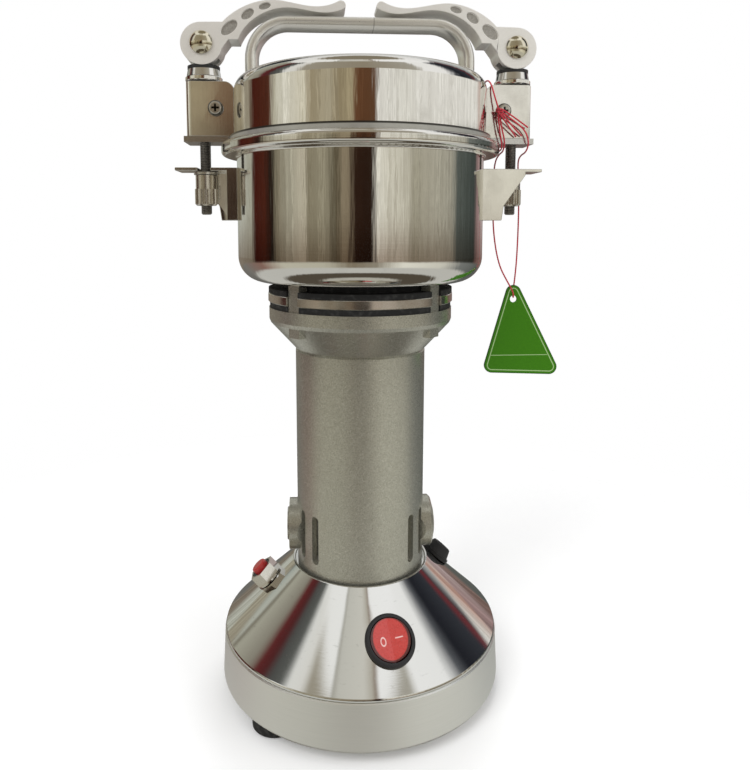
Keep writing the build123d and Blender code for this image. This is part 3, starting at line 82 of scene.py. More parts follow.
# ---------------------------------------------------------------- Studio
# A pale sweep of floor under soft light. Polished metal sees a room with windows, a dark door
# and warm furniture, so its bands stand where such a room would put them.
class Socket:
    """A shader socket. Arithmetic on it adds Math nodes, and node() adds any other node."""

    def __init__(self, tree, socket=None):
        self.tree, self.socket = tree, socket

    def node(self, kind, settings=None, inputs=None, out=0):
        """Adds a node of that kind: its settings, then the values or links of its sockets."""
        made = self.tree.nodes.new(kind)
        for name, value in (settings or {}).items():
            if name == "stops":
                stops = made.color_ramp.elements
                stops.remove(stops[-1])
                stops[0].position = value[0][0]
                for place, _ in value[1:]:
                    stops.new(place)
                for stop, (_, colour) in zip(stops, value):
                    stop.color = (*colour, 1)
            else:
                setattr(made, name, value)
        for name, value in (inputs or {}).items():
            if isinstance(value, Socket):
                self.tree.links.new(value.socket, made.inputs[name])
            else:
                made.inputs[name].default_value = value
        return Socket(self.tree, made.outputs[out])

    def math(self, operation, *values):
        return self.node("ShaderNodeMath", {"operation": operation}, dict(enumerate(values)))

    def __add__(self, other):
        return self.math("ADD", self, other)

    def __radd__(self, other):
        return self.math("ADD", other, self)

    def __sub__(self, other):
        return self.math("SUBTRACT", self, other)

    def __rsub__(self, other):
        return self.math("SUBTRACT", other, self)

    def __mul__(self, other):
        return self.math("MULTIPLY", self, other)

    def __rmul__(self, other):
        return self.math("MULTIPLY", other, self)

    def __truediv__(self, other):
        return self.math("DIVIDE", self, other)

    def __pow__(self, other):
        return self.math("POWER", self, other)

    def __abs__(self):
        return self.math("ABSOLUTE", self)

    def step(self, low, high):
        """0 below low and 1 above high, with a smooth rise between them."""
        return self.node(
            "ShaderNodeMapRange",
            {"interpolation_type": "SMOOTHSTEP"},
            {"Value": self, "From Min": low, "From Max": high},
        )

    def mix(self, factor, a, b, blend="MIX"):
        """Colour a where factor is 0 and colour b where it is 1."""
        colours = [c if isinstance(c, Socket) else (*c, 1) for c in (a, b)]
        return self.node(
            "ShaderNodeMix",
            {"data_type": "RGBA", "blend_type": blend},
            {0: factor, 6: colours[0], 7: colours[1]},
            2,
        )


def axes(vector):
    """The three numbers of a vector."""
    return [vector.node("ShaderNodeSeparateXYZ", {}, {0: vector}, k) for k in range(3)]


world = bpy.data.worlds.new("studio")
bpy.context.scene.world = world
world.use_nodes = True
world.node_tree.nodes.clear()
sky = Socket(world.node_tree)
direction = sky.node("ShaderNodeTexCoord", out=0)
east, north, up = axes(direction)
around = sky.math("ARCTAN2", east, north * -1) / (2 * math.pi) + 0.5
streak = sky.node(
    "ShaderNodeTexNoise", {"noise_dimensions": "1D"}, {"W": around * 46, "Detail": 3.0}
)


def bands(*stops):
    """A colour for each heading. Headings run from 0 behind the mill, by its left, its front at a
    half and its right, to 1 behind it again."""
    return sky.node("ShaderNodeValToRGB", {"stops": stops}, {0: around})


# The height of a lid's reflections: a dark door in front, bright windows to its right.
upper = bands(
    (0.00, (0.10, 0.09, 0.08)), (0.06, (0.50, 0.48, 0.38)), (0.17, (0.38, 0.34, 0.26)),
    (0.185, (0.075, 0.014, 0.008)), (0.25, (0.10, 0.03, 0.016)), (0.265, (0.60, 0.58, 0.47)),
    (0.30, (0.95, 0.94, 0.84)), (0.355, (0.80, 0.76, 0.62)), (0.370, (0.42, 0.36, 0.24)),
    (0.415, (0.55, 0.50, 0.37)), (0.44, (0.36, 0.30, 0.19)), (0.470, (0.50, 0.43, 0.28)),
    (0.480, (0.17, 0.075, 0.035)), (0.523, (0.13, 0.06, 0.028)), (0.532, (1.0, 1.0, 0.97)),
    (0.60, (0.94, 0.94, 0.89)), (0.64, (1.0, 1.0, 0.97)), (0.835, (1.0, 1.0, 0.97)),
    (0.866, (0.55, 0.32, 0.26)), (0.882, (0.70, 0.60, 0.55)), (0.92, (0.34, 0.30, 0.28)),
    (1.00, (0.10, 0.09, 0.08)),
)
# The height of a bowl's reflections: cupboards, the same door, a grey wall and a dark corner.
walls = bands(
    (0.00, (0.10, 0.10, 0.09)), (0.04, (0.55, 0.58, 0.52)), (0.080, (0.60, 0.62, 0.56)),
    (0.165, (0.50, 0.50, 0.42)), (0.180, (0.07, 0.012, 0.008)), (0.220, (0.09, 0.022, 0.012)),
    (0.250, (0.02, 0.014, 0.010)), (0.270, (0.28, 0.25, 0.18)), (0.31, (0.52, 0.50, 0.40)),
    (0.345, (0.66, 0.62, 0.50)), (0.36, (0.30, 0.27, 0.19)), (0.40, (0.42, 0.39, 0.29)),
    (0.43, (0.13, 0.11, 0.07)), (0.455, (0.36, 0.30, 0.21)), (0.475, (0.035, 0.016, 0.009)),
    (0.520, (0.025, 0.012, 0.007)), (0.532, (1.0, 0.99, 0.90)), (0.56, (0.80, 0.78, 0.68)),
    (0.60, (0.74, 0.72, 0.62)), (0.625, (0.45, 0.43, 0.34)), (0.66, (0.54, 0.52, 0.43)),
    (0.74, (0.46, 0.45, 0.38)), (0.757, (0.12, 0.14, 0.13)), (0.845, (0.06, 0.075, 0.07)),
    (0.870, (0.42, 0.28, 0.28)), (0.92, (0.60, 0.52, 0.52)), (1.00, (0.10, 0.10, 0.09)),
)
# Below the level of the table's edge: the room's floor and the fronts of its cupboards.
depths = bands(
    (0.00, (0.12, 0.12, 0.11)), (0.10, (0.20, 0.19, 0.17)), (0.20, (0.26, 0.15, 0.12)),
    (0.28, (0.56, 0.54, 0.44)), (0.40, (0.52, 0.50, 0.40)), (0.47, (0.24, 0.20, 0.14)),
    (0.53, (0.30, 0.27, 0.21)), (0.60, (0.84, 0.83, 0.73)), (0.72, (0.66, 0.65, 0.57)),
    (0.79, (0.20, 0.21, 0.20)), (0.90, (0.10, 0.11, 0.10)), (1.00, (0.12, 0.12, 0.11)),
)
# Seen from a sloping face: lamps and windows in front, dark corners on both sides.
cove = bands(
    (0.00, (0.60, 0.60, 0.57)), (0.045, (0.48, 0.48, 0.45)), (0.062, (0.025, 0.026, 0.03)),
    (0.115, (0.025, 0.026, 0.03)), (0.130, (0.42, 0.45, 0.40)),
    (0.148, (0.50, 0.51, 0.44)), (0.154, (0.16, 0.14, 0.10)), (0.162, (0.42, 0.41, 0.33)),
    (0.205, (0.27, 0.25, 0.20)), (0.222, (0.12, 0.022, 0.022)), (0.240, (0.085, 0.02, 0.02)),
    (0.255, (0.08, 0.08, 0.075)), (0.280, (0.11, 0.115, 0.105)), (0.298, (0.80, 0.80, 0.76)),
    (0.325, (0.78, 0.77, 0.72)), (0.345, (0.36, 0.33, 0.26)), (0.50, (0.30, 0.26, 0.19)),
    (0.63, (0.42, 0.40, 0.34)), (0.650, (0.96, 0.96, 0.94)), (0.718, (0.94, 0.94, 0.92)),
    (0.748, (0.10, 0.105, 0.115)), (0.768, (0.014, 0.015, 0.02)), (0.815, (0.035, 0.038, 0.046)),
    (0.827, (0.17, 0.03, 0.035)), (0.834, (0.06, 0.045, 0.05)), (0.850, (0.36, 0.37, 0.36)),
    (0.93, (0.70, 0.71, 0.70)), (1.00, (0.60, 0.60, 0.57)),
)
ceiling = bands(
    (0.00, (0.80, 0.80, 0.78)), (0.30, (0.92, 0.92, 0.89)), (0.40, (0.94, 0.94, 0.91)),
    (0.408, (0.40, 0.39, 0.34)), (0.420, (0.60, 0.59, 0.53)), (0.50, (0.66, 0.645, 0.58)),
    (0.528, (0.50, 0.47, 0.40)), (0.538, (0.24, 0.18, 0.13)), (0.549, (0.98, 0.98, 0.96)),
    (0.72, (1.0, 1.0, 0.99)), (1.00, (0.80, 0.80, 0.78)),
)
shade = sky.mix(streak.step(0.25, 0.8), (0.60, 0.58, 0.54), (1.12, 1.12, 1.1))
height = sky.math("ARCSINE", up) * (180 / math.pi)
depth = height * -1
room = sky.mix(height.step(6.6, 8.0), walls, upper)
room = sky.mix(1.0, room, shade, "MULTIPLY")
room = sky.mix(height.step(13, 17), room, cove)
room = sky.mix(height.step(54, 58), room, ceiling)
room = sky.mix(height.step(68, 74), room, (0.25, 0.22, 0.16))
dim = sky.mix(1.0, room, (0.46, 0.38, 0.34), "MULTIPLY")
room = sky.mix(depth.step(-1.5, 4.0), room, dim)
room = sky.mix(depth.step(8, 13), room, depths)
room = sky.mix(depth.step(24, 31), room, (0.56, 0.56, 0.52))
room = sky.mix(depth.step(47, 52), room, (0.09, 0.075, 0.055))
room = sky.mix(depth.step(68, 74), room, (0.48, 0.47, 0.41))
glossy = sky.node("ShaderNodeLightPath", out="Is Glossy Ray")
direct = sky.node("ShaderNodeLightPath", out="Is Camera Ray")
through = sky.node("ShaderNodeLightPath", out="Is Transmission Ray")
seen = sky.mix(glossy, (0.62, 0.62, 0.62), room)
seen = sky.mix(sky.math("MAXIMUM", direct, through), seen, (1, 1, 1))
lit = sky.node("ShaderNodeBackground", {}, {"Color": seen, "Strength": 1.0})
world_end = world.node_tree.nodes.new("ShaderNodeOutputWorld")
world.node_tree.links.new(lit.socket, world_end.inputs["Surface"])


def lamp(name, place, target, size, power):
    """A square soft lamp at a place, turned to a target."""
    data = bpy.data.lights.new(name, "AREA")
    data.shape, data.size, data.energy = "SQUARE", size, power
    made = bpy.data.objects.new(name, data)
    made.location = place
    away = np.array(place) - np.array(target)
    flat = math.hypot(away[0], away[1])
    made.rotation_euler = (math.atan2(flat, away[2]), 0, math.atan2(away[0], -away[1]))
    made.visible_glossy = False
    bpy.context.scene.collection.objects.link(made)


lamp("key_lamp", (-0.9, -1.1, 1.5), (0, 0, 0.15), 1.0, 16)
lamp("fill_lamp", (1.2, -0.7, 1.0), (0, 0, 0.15), 1.2, 7)
lamp("back_lamp", (0.3, 1.3, 1.2), (0, 0, 0.15), 1.0, 8)


def skin(name, grid, around=True, along=False, ends=False):
    """A mesh of quads between neighbouring points of a grid, joined up across the grid's sides
    where asked, with each end of a tube closed by a fan to its middle."""
    rows, columns = grid.shape[:2]
    index = np.arange(rows * columns).reshape(rows, columns)
    index = np.vstack([index, index[:1]]) if along else index
    index = np.hstack([index, index[:, :1]]) if around else index
    quads = np.stack(
        [index[:-1, :-1], index[:-1, 1:], index[1:, 1:], index[1:, :-1]], -1
    ).reshape(-1, 4)
    points, faces = grid.reshape(-1, 3), quads.tolist()
    if ends:
        points = np.vstack([points, grid[0].mean(0), grid[-1].mean(0)])
        for ring, middle in ((index[0], rows * columns), (index[-1], rows * columns + 1)):
            fan = np.stack([ring[:-1], ring[1:], np.full(len(ring) - 1, middle)], -1)
            faces += fan.tolist()
    mesh = bpy.data.meshes.new(name)
    mesh.from_pydata(points.tolist(), [], faces)
    work = bmesh.new()
    work.from_mesh(mesh)
    bmesh.ops.recalc_face_normals(work, faces=work.faces)
    work.to_mesh(mesh)
    work.free()
    mesh.polygons.foreach_set("use_smooth", np.ones(len(mesh.polygons), bool))
    mesh.set_sharp_from_angle(angle=math.radians(40))
    made = bpy.data.objects.new(name, mesh)
    bpy.context.scene.collection.objects.link(made)
    return made


def finish(name, **plain):
    """A new material with those plain numbers on its shader. Returns the material, its shader's
    inputs and its object coordinates."""
    made = bpy.data.materials.new(name)
    made.use_nodes = True
    shader = made.node_tree.nodes["Principled BSDF"]
    for socket, value in plain.items():
        shader.inputs[socket.replace("_", " ")].default_value = value
    return made, shader, Socket(made.node_tree).node("ShaderNodeTexCoord", out="Object")


def feed(shader, **sockets):
    """Links sockets, or sets plain values, on a shader's inputs."""
    for name, value in sockets.items():
        target = shader.inputs[name.replace("_", " ")]
        if isinstance(value, Socket):
            value.tree.links.new(value.socket, target)
        else:
            target.default_value = (*value, 1) if isinstance(value, tuple) else value


# A round floor that fades out into the white far from the mill.
reach = np.linspace(0.0, 1.2, 40)[:, None] ** 1.5
turn = np.linspace(0, 2 * math.pi, 96, endpoint=False)[None, :]
floor_grid = np.stack([reach * np.cos(turn), reach * np.sin(turn), 0 * reach * turn], -1)
floor = skin("floor", floor_grid[1:])
floor.visible_glossy = False
pale, shader, point = finish("pale_floor", Roughness=0.9, Specular_IOR_Level=0.0)
x, y, z = axes(point)
feed(shader, Base_Color=(0.93, 0.93, 0.93), Alpha=1 - ((x * x + y * y) ** 0.5).step(0.16, 0.42))
direct = point.node("ShaderNodeLightPath", out="Is Camera Ray")
feed(shader, Emission_Color=point.mix(direct, (0, 0, 0), (1, 1, 1)), Emission_Strength=0.08)
floor.data.materials.append(pale)

# ---------------------------------------------------------------- String
# A soft red two-ply thread, tied round the right latch box with an overhand knot. Its loop hangs
# down, goes through the tag's hole and comes up again.
string_route = (
    (66.4, -13.3, 282.6), (72.0, -12.2, 279.2), (78.6, -11.4, 274.4), (80.4, -11.2, 268.4),
    (80.4, -6.4, 264.6), (80.4, 2.4, 264.0), (81.4, 10.4, 261.4), (83.0, 12.4, 250.0),
    (83.3, 12.8, 231.0), (83.0, 13.4, 212.0), (82.4, 14.0, 202.0), (81.6, 14.1, 194.8),
    (81.1, 12.7, 191.8), (80.9, 10.7, 191.8), (80.3, 9.5, 194.8), (77.4, 9.8, 199.8),
    (72.6, 10.4, 208.8), (69.8, 11.0, 224.0), (69.2, 11.6, 240.0), (69.2, 11.4, 253.6),
    (69.3, 8.6, 261.8), (69.3, 1.2, 264.4), (69.2, -6.6, 265.0), (68.6, -11.2, 269.4),
    (66.6, -12.0, 275.6), (65.5, -12.5, 281.4),
)
tie_route = (
    (64.6, -13.0, 284.6), (63.0, -12.0, 290.2), (62.0, -9.6, 296.2), (61.6, -4.0, 299.4),
    (61.6, 4.4, 299.2), (62.2, 10.8, 295.0), (64.0, 12.4, 284.0), (66.4, 11.8, 272.6),
    (67.8, 10.2, 266.2), (68.2, 3.2, 265.4), (68.2, -4.0, 265.4), (67.6, -10.4, 266.4),
    (66.0, -12.2, 272.4), (65.1, -12.6, 277.8), (64.5, -13.0, 281.9),
)
tail_routes = (
    ((66.2, -13.6, 284.0), (72.6, -12.2, 280.6), (79.8, -10.6, 276.0)),
    ((66.0, -14.0, 282.0), (71.4, -12.4, 276.6), (77.0, -10.0, 272.0)),
    ((65.2, -14.2, 281.8), (69.6, -12.6, 276.2), (74.2, -10.2, 271.6)),
)
thread_radius = 0.0004
thread_step = 0.00026
knot_radius = 0.00045


def noise(point, scale, detail=2.0, stretch=(1, 1, 1)):
    """Soft random values from 0 to 1, scale of them to a metre, drawn out by stretch."""
    place = point.node(
        "ShaderNodeVectorMath", {"operation": "MULTIPLY"}, {0: point, 1: stretch}
    )
    return place.node(
        "ShaderNodeTexNoise", {}, {"Vector": place, "Scale": scale, "Detail": detail}
    )


def relief(height, depth, strength=1.0):
    """A normal raised by height, depth metres from its lowest to its highest."""
    return height.node(
        "ShaderNodeBump", {}, {"Height": height, "Distance": depth, "Strength": strength}
    )


def line_of(name, route):
    """The points of the smooth line that a route in millimetres guides, from its NURBS spline."""
    curve = bpy.data.curves.new(name, "CURVE")
    curve.dimensions = "3D"
    curve.resolution_u = 24
    spline = curve.splines.new("NURBS")
    spline.points.add(len(route) - 1)
    for point, place in zip(spline.points, route):
        point.co = (*[c / 1000 for c in place], 1)
    spline.order_u = 3
    spline.use_endpoint_u = True
    guide = bpy.data.objects.new(name, curve)
    bpy.context.scene.collection.objects.link(guide)
    bpy.context.view_layer.update()
    mesh = bpy.data.meshes.new_from_object(guide)
    points = np.empty(len(mesh.vertices) * 3)
    mesh.vertices.foreach_get("co", points)
    bpy.data.objects.remove(guide)
    bpy.data.curves.remove(curve)
    bpy.data.meshes.remove(mesh)
    return points.reshape(-1, 3)


def measure(line):
    """The distance along a line at each of its points."""
    return np.concatenate([[0], np.cumsum(np.linalg.norm(np.diff(line, axis=0), axis=1))])


def thread(name, line, closed=False, radius=thread_radius, lay=0.0021):
    """A two-ply thread along a line. Round the line, at angle a and distance s along it, the
    surface stands at radius times 0.80 + 0.20 |cos(a - 2 pi s / lay)|, so two plies wind round
    each other once in each lay."""
    reach = measure(line)
    steps = int(reach[-1] / thread_step)
    s = np.linspace(0, reach[-1], steps, endpoint=not closed)
    middle = np.stack([np.interp(s, reach, line[:, k]) for k in range(3)], -1)
    ahead = np.gradient(middle, axis=0)
    if closed:
        ahead = np.roll(middle, -1, 0) - np.roll(middle, 1, 0)
    ahead /= np.linalg.norm(ahead, axis=1)[:, None]
    side = np.array([1.0, 0.02, 0.03]) if not closed else np.array([0.03, 1.0, 0.02])
    side = side - ahead * (ahead @ side)[:, None]
    side /= np.linalg.norm(side, axis=1)[:, None]
    other = np.cross(ahead, side)
    angle = np.linspace(0, 2 * math.pi, 14, endpoint=False)[None, :]
    ply = np.abs(np.cos(angle - 2 * math.pi * s[:, None] / lay))
    stand = (radius * (0.80 + 0.20 * ply))[:, :, None]
    grid = middle[:, None] + stand * (
        np.cos(angle)[:, :, None] * side[:, None] + np.sin(angle)[:, :, None] * other[:, None]
    )
    made = skin(name, grid, along=closed, ends=not closed)
    groove = np.zeros(len(made.data.vertices), np.float32)
    groove[: ply.size] = ply.ravel()
    made.data.attributes.new("ply", "FLOAT", "POINT").data.foreach_set("value", groove)
    made.data.polygons.foreach_set("use_smooth", np.ones(len(made.data.polygons), bool))
    return made, middle


red, shader, point = finish("red_thread", Specular_IOR_Level=0.25)
shader.inputs["Sheen Weight"].default_value = 0.4
# The grooves between the two plies are painted darker than the plies' crowns, as painted shade.
ply = point.node("ShaderNodeAttribute", {"attribute_name": "ply"}, out="Fac")
fibre = noise(point, 5200, 3.0)
feed(
    shader,
    Base_Color=point.mix(ply * 0.75 + fibre * 0.4, (0.22, 0.006, 0.014), (0.70, 0.045, 0.07)),
    Roughness=0.78 + 0.15 * fibre,
    Normal=relief(fibre, 0.00006, 0.7),
)

string, string_line = thread("string", line_of("string_guide", string_route))
tie, tie_line = thread("string_tie", line_of("tie_guide", tie_route))
tails = [
    thread(f"string_tail_{k + 1}", line_of(f"tail_guide_{k}", route))[0]
    for k, route in enumerate(tail_routes)
]
# The knot is the overhand knot's own curve, the trefoil: x is sin t + 2 sin 2t, y is cos t minus
# 2 cos 2t and the height is minus sin 3t.
t = np.linspace(0, 2 * math.pi, 240, endpoint=False)
trefoil = np.stack(
    [
        65.3 + 0.50 * (np.sin(t) + 2 * np.sin(2 * t)),
        -13.0 - 0.75 * np.sin(3 * t),
        283.1 + 0.50 * (np.cos(t) - 2 * np.cos(2 * t)),
    ],
    -1,
) / 1000
knot, _ = thread("string_knot_turns", trefoil, closed=True, radius=knot_radius)
for piece in (string, tie, knot, *tails):
    piece.data.materials.append(red)
    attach(piece, "lid")
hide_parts("tag_string")
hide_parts("string_knot")

# ---------------------------------------------------------------- Hang tag
# A small triangular card under clear film: green ink with a pale line inside its edge and a
# ruled line over the blank foot.
def dress(material, *names):
    """Puts a material on CAD nodes."""
    for name in names:
        nodes[name].material_slots[0].material = material


card, shader, point = finish("green_card", Specular_IOR_Level=0.25)
x, y, z = axes(point)
corners = ((0.0810, 0.1942), (0.07015, 0.1559), (0.10105, 0.1547))
corner_radius = 0.004
rule_height = 0.1612
edge, inside = None, None
for (ax, az), (bx, bz) in zip(corners, corners[1:] + corners[:1]):
    side = math.hypot(bx - ax, bz - az)
    ux, uz = (bx - ax) / side, (bz - az) / side
    level = (x - ax) * ux + (z - az) * uz
    beyond = level - point.math("MINIMUM", point.math("MAXIMUM", level, 0.0), side)
    off = (x - ax) * -uz + (z - az) * ux
    gap = (off * off + beyond * beyond) ** 0.5
    edge = gap if edge is None else point.math("MINIMUM", edge, gap)
    inside = off if inside is None else point.math("MINIMUM", inside, off)
edge = edge * point.math("SIGN", inside) + corner_radius
mottle = noise(point, 900, 3.0)
line = edge.step(0.0013, 0.0015) * (1 - edge.step(0.0018, 0.0020))
rule = (1 - abs(z - rule_height).step(0.00012, 0.00024)) * edge.step(0.0020, 0.0022)
card_colour = point.mix(mottle, (0.036, 0.175, 0.001), (0.052, 0.215, 0.002))
# The card is darker along its very edge.
card_colour = point.mix(1 - edge.step(0.0, 0.0009), card_colour, (0.018, 0.10, 0.004))
card_colour = point.mix(point.math("MAXIMUM", line, rule) * 0.75, card_colour, (0.50, 0.68, 0.34))
feed(shader, Base_Color=card_colour, Roughness=0.32 + 0.14 * mottle, Normal=relief(mottle, 0.00002, 0.4))
dress(card, "hang_tag")

# ---------------------------------------------------------------- Feet
# Three feet of black rubber, moulded with a narrower tread. A screw through each one and a nut
# inside the base hold it to the bottom plate.
rubber, shader, point = finish("foot_rubber", Specular_IOR_Level=0.3)
dust = noise(point, 420, 4.0)
pores = noise(point, 5200, 2.0)
feed(
    shader,
    Base_Color=point.mix(dust.step(0.45, 0.8), (0.016, 0.016, 0.016), (0.05, 0.049, 0.046)),
    Roughness=0.62 + 0.25 * dust,
    Normal=relief(pores, 0.00008, 0.6),
)
dress(rubber, "rubber_feet")

# ---------------------------------------------------------------- Skirt
# A drum of rolled and welded sheet steel with the fine level lines of a grinding belt. A flat
# plate screwed into its rim closes it below.
satin, shader, point = finish("skirt_steel", Metallic=1.0)
lines = noise(point, 40, 3.0, (1, 1, 90))
smear = noise(point, 28, 3.0)
feed(
    shader,
    Base_Color=point.mix(lines * 0.5 + smear * 0.5, (0.80, 0.81, 0.79), (1.0, 1.0, 0.99)),
    Roughness=0.30 + 0.10 * lines + 0.08 * smear,
    Normal=relief(lines, 0.00003, 0.35),
)
dress(satin, "base_skirt", "bottom_plate")

# ---------------------------------------------------------------- Cone
# Sheet steel, spun over a former and polished like a mirror on the lathe, with a few fine marks
# from use. Its edge drops inside the skirt and is screwed to it.
spun, shader, point = finish("polished_cone", Metallic=1.0)
x, y, z = axes(point)
bearing = point.math("ARCTAN2", x, y * -1)
turned = point.node("ShaderNodeCombineXYZ", {}, {0: bearing * 0.012, 1: z * 1.0, 2: 0.0})
rings = noise(turned, 2600, 2.0, (0.4, 1, 1))
waves = noise(turned, 120, 1.0, (9, 0.5, 1))
scuffs = noise(point, 260, 6.0, (1, 1, 5)).step(0.62, 0.80)
feed(
    shader,
    Base_Color=point.mix(scuffs, (0.79, 0.79, 0.78), (0.66, 0.66, 0.65)),
    Roughness=0.045 + 0.05 * rings + 0.10 * scuffs,
    Normal=relief(rings * 0.25 + waves, 0.00006, 0.2),
)
dress(spun, "base_cone")

# ---------------------------------------------------------------- Fasteners
# Bought steel screws, nuts and washers, bright zinc plated, with turned heads. The lid's screws
# have a cross cut into their heads and hold the latch boxes. The cross and the rim of each of
# their heads are painted nearly black, as painted shade.
bright, shader, point = finish("bright_zinc", Metallic=1.0)
grime = noise(point, 900, 4.0)
feed(
    shader,
    Base_Color=point.mix(grime.step(0.5, 0.85), (0.72, 0.71, 0.69), (0.34, 0.31, 0.27)),
    Roughness=0.22 + 0.25 * grime,
    Normal=relief(noise(point, 6000, 2.0), 0.00002, 0.4),
)
dress(bright, "base_fasteners", "bowl_screws", "seal_nut", "blade_spacers", "blade_nut")
dress(bright, "nut_washers")
screw_offset = 0.0683
screw_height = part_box("latch_boxes")[1].z - 0.0125
crossed, shader, point = finish("cross_head", Metallic=1.0)
x, y, z = axes(point)
beside, above = abs(abs(x) - screw_offset), abs(z - screw_height)
off_middle = (beside * beside + above * above) ** 0.5
inner = 1 - off_middle.step(0.0016, 0.0020)
arms = 1 - point.math("MINIMUM", beside, above).step(0.00042, 0.00055)
head_rim_shade = off_middle.step(0.0026, 0.0031)
grime = noise(point, 900, 3.0)
# Painted shade: the cross recess and the rim round each head are painted nearly black.
feed(
    shader,
    Base_Color=point.mix(
        point.math("MAXIMUM", inner * arms, head_rim_shade * 0.8),
        point.mix(grime, (0.80, 0.78, 0.74), (0.58, 0.55, 0.50)),
        (0.02, 0.018, 0.015),
    ),
    Roughness=0.2 + 0.2 * grime,
    Normal=relief(grime, 0.00003, 0.4),
)
dress(crossed, "lid_screws")

# ---------------------------------------------------------------- Switch
# A round rocker of clear red plastic in a moulded black bezel. A ring is printed on its off side
# and a bar on its on side.
moulded, shader, point = finish("black_moulding", Specular_IOR_Level=0.45)
spark = noise(point, 7000, 2.0)
feed(
    shader,
    Base_Color=point.mix(spark, (0.012, 0.012, 0.013), (0.026, 0.026, 0.028)),
    Roughness=0.36 + 0.16 * spark,
    Normal=relief(spark, 0.00003, 0.5),
)
dress(moulded, "switch_bezel", "breaker_body", "brush_holders", "cooling_fan")
dress(moulded, "cam_saddles")

# The rocker's face stands on the cone: turned to the right of the front and leant back.
face_turn, face_lean = math.radians(11), math.radians(47.61)
facing = np.array([math.sin(face_turn), -math.cos(face_turn), 0])
face_out = facing * math.cos(face_lean) + np.array([0, 0, math.sin(face_lean)])
face_up = facing * -math.sin(face_lean) + np.array([0, 0, math.cos(face_lean)])
face_right = np.cross(face_up, face_out)
rocker_low, rocker_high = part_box("switch_rocker")
face_middle = np.array((rocker_low + rocker_high) / 2)
lamp_red, shader, point = finish("rocker_red", Coat_Weight=0.8, Coat_Roughness=0.06)
shader.inputs["Subsurface Weight"].default_value = 0.15
shader.inputs["Subsurface Radius"].default_value = (0.002, 0.0004, 0.0003)


def along(point, centre, axis):
    """How far a point lies from a centre along an axis."""
    offset = point.node(
        "ShaderNodeVectorMath", {"operation": "SUBTRACT"}, {0: point, 1: tuple(centre)}
    )
    return offset.node(
        "ShaderNodeVectorMath", {"operation": "DOT_PRODUCT"}, {0: offset, 1: tuple(axis)}, "Value"
    )


across = along(point, face_middle, face_right)
upward = along(point, face_middle, face_up)
ring_x, ring_y = (across + 0.0036) / 0.0011, (upward + 0.0004) / 0.0017
ring = abs((ring_x * ring_x + ring_y * ring_y) ** 0.5 - 1).step(0.14, 0.26)
bar = point.math("MAXIMUM", abs(across - 0.0036) / 0.0017, abs(upward - 0.0003) / 0.00026)
print_mask = 1 - point.math("MINIMUM", ring, bar.step(0.9, 1.1))
rim_x, rim_y = (across + 0.0004) / 0.0078, (upward - 0.0003) / 0.0088
rim_shade = ((rim_x * rim_x + rim_y * rim_y) ** 0.5).step(0.94, 1.03)
swirl = noise(point, 700, 2.0)
plastic = point.mix(swirl, (0.46, 0.030, 0.024), (0.56, 0.048, 0.040))
printed = point.mix(print_mask * 0.7, plastic, (0.93, 0.72, 0.68))
feed(
    shader,
    Base_Color=point.mix(rim_shade * 0.92, printed, (0.03, 0.003, 0.003)),
    Roughness=0.22 + 0.12 * swirl,
    Normal=relief(noise(point, 2500, 2.0), 0.00002, 0.4),
)
dress(lamp_red, "switch_rocker")

# ---------------------------------------------------------------- Reset button
# The overload breaker's button, moulded in dark red plastic. A chrome-plated hexagon nut of
# turned brass clamps the breaker through the cone, and the latches' collars are plated alike.
button_red, shader, point = finish("button_red", Coat_Weight=0.5, Coat_Roughness=0.1)
swirl = noise(point, 1200, 3.0)
feed(
    shader,
    Base_Color=point.mix(swirl, (0.30, 0.012, 0.012), (0.45, 0.025, 0.022)),
    Roughness=0.3 + 0.2 * swirl,
    Normal=relief(swirl, 0.00003, 0.4),
)
dress(button_red, "reset_button")
plated, shader, point = finish("chrome_plate", Metallic=1.0)
haze = noise(point, 800, 4.0)
feed(
    shader,
    Base_Color=point.mix(haze, (0.82, 0.81, 0.79), (0.74, 0.72, 0.69)),
    Roughness=0.05 + 0.12 * haze,
    Normal=relief(noise(point, 3000, 3.0), 0.00001, 0.5),
)
dress(plated, "reset_nut", "latch_collars")

# ---------------------------------------------------------------- Cord gland
# A gland for the mains lead, moulded in black nylon. It stands in a hole through the cone, and
# a nut inside the base holds it.
nylon, shader, point = finish("black_nylon", Specular_IOR_Level=0.4)
grain = noise(point, 2600, 3.0)
feed(
    shader,
    Base_Color=point.mix(grain, (0.010, 0.010, 0.011), (0.024, 0.024, 0.025)),
    Roughness=0.42 + 0.22 * grain,
    Normal=relief(grain, 0.00005, 0.5),
)
dress(nylon, "cord_gland", "gland_nut")

# ---------------------------------------------------------------- Motor housing
# Die-cast aluminium in a grey lacquer full of fine metal flake, baked on over the casting. The
# same lacquer covers the brush caps, which screw into its two bosses.
lacquer, shader, point = finish("flake_lacquer", Coat_Weight=0.15, Coat_Roughness=0.3)
flakes = point.node(
    "ShaderNodeTexVoronoi", {"feature": "F1"}, {"Vector": point, "Scale": 3600.0}, "Color"
)
flake, tilt, _ = axes(flakes)
cloud = noise(point, 60, 3.0)
peel = noise(point, 2600, 2.0)
body_grey = point.mix(flake, (0.37, 0.365, 0.31), (0.62, 0.61, 0.54))
feed(
    shader,
    Base_Color=point.mix(cloud * 0.3, body_grey, (0.40, 0.395, 0.34)),
    Metallic=0.74 + 0.2 * tilt,
    Roughness=0.26 + 0.14 * tilt,
    Normal=relief(peel + 0.4 * flake, 0.00003, 0.4),
)
dress(lacquer, "motor_housing", "brush_caps")


def sheet_arc(name, swing, low, high, outer, inner):
    """A curved sheet that stands upright round the motor's axis: at each angle of swing, x is the
    radius times the angle's sine and y is minus the radius times its cosine, for the outer and
    the inner radius, from the height low to high."""
    swing, rise = np.meshgrid(swing, [low, high, high, low])
    radius = np.array([outer, outer, inner, inner])[:, None]
    grid = np.stack([radius * np.sin(swing), -radius * np.cos(swing), rise], -1)
    return skin(name, grid, along=True, around=False)


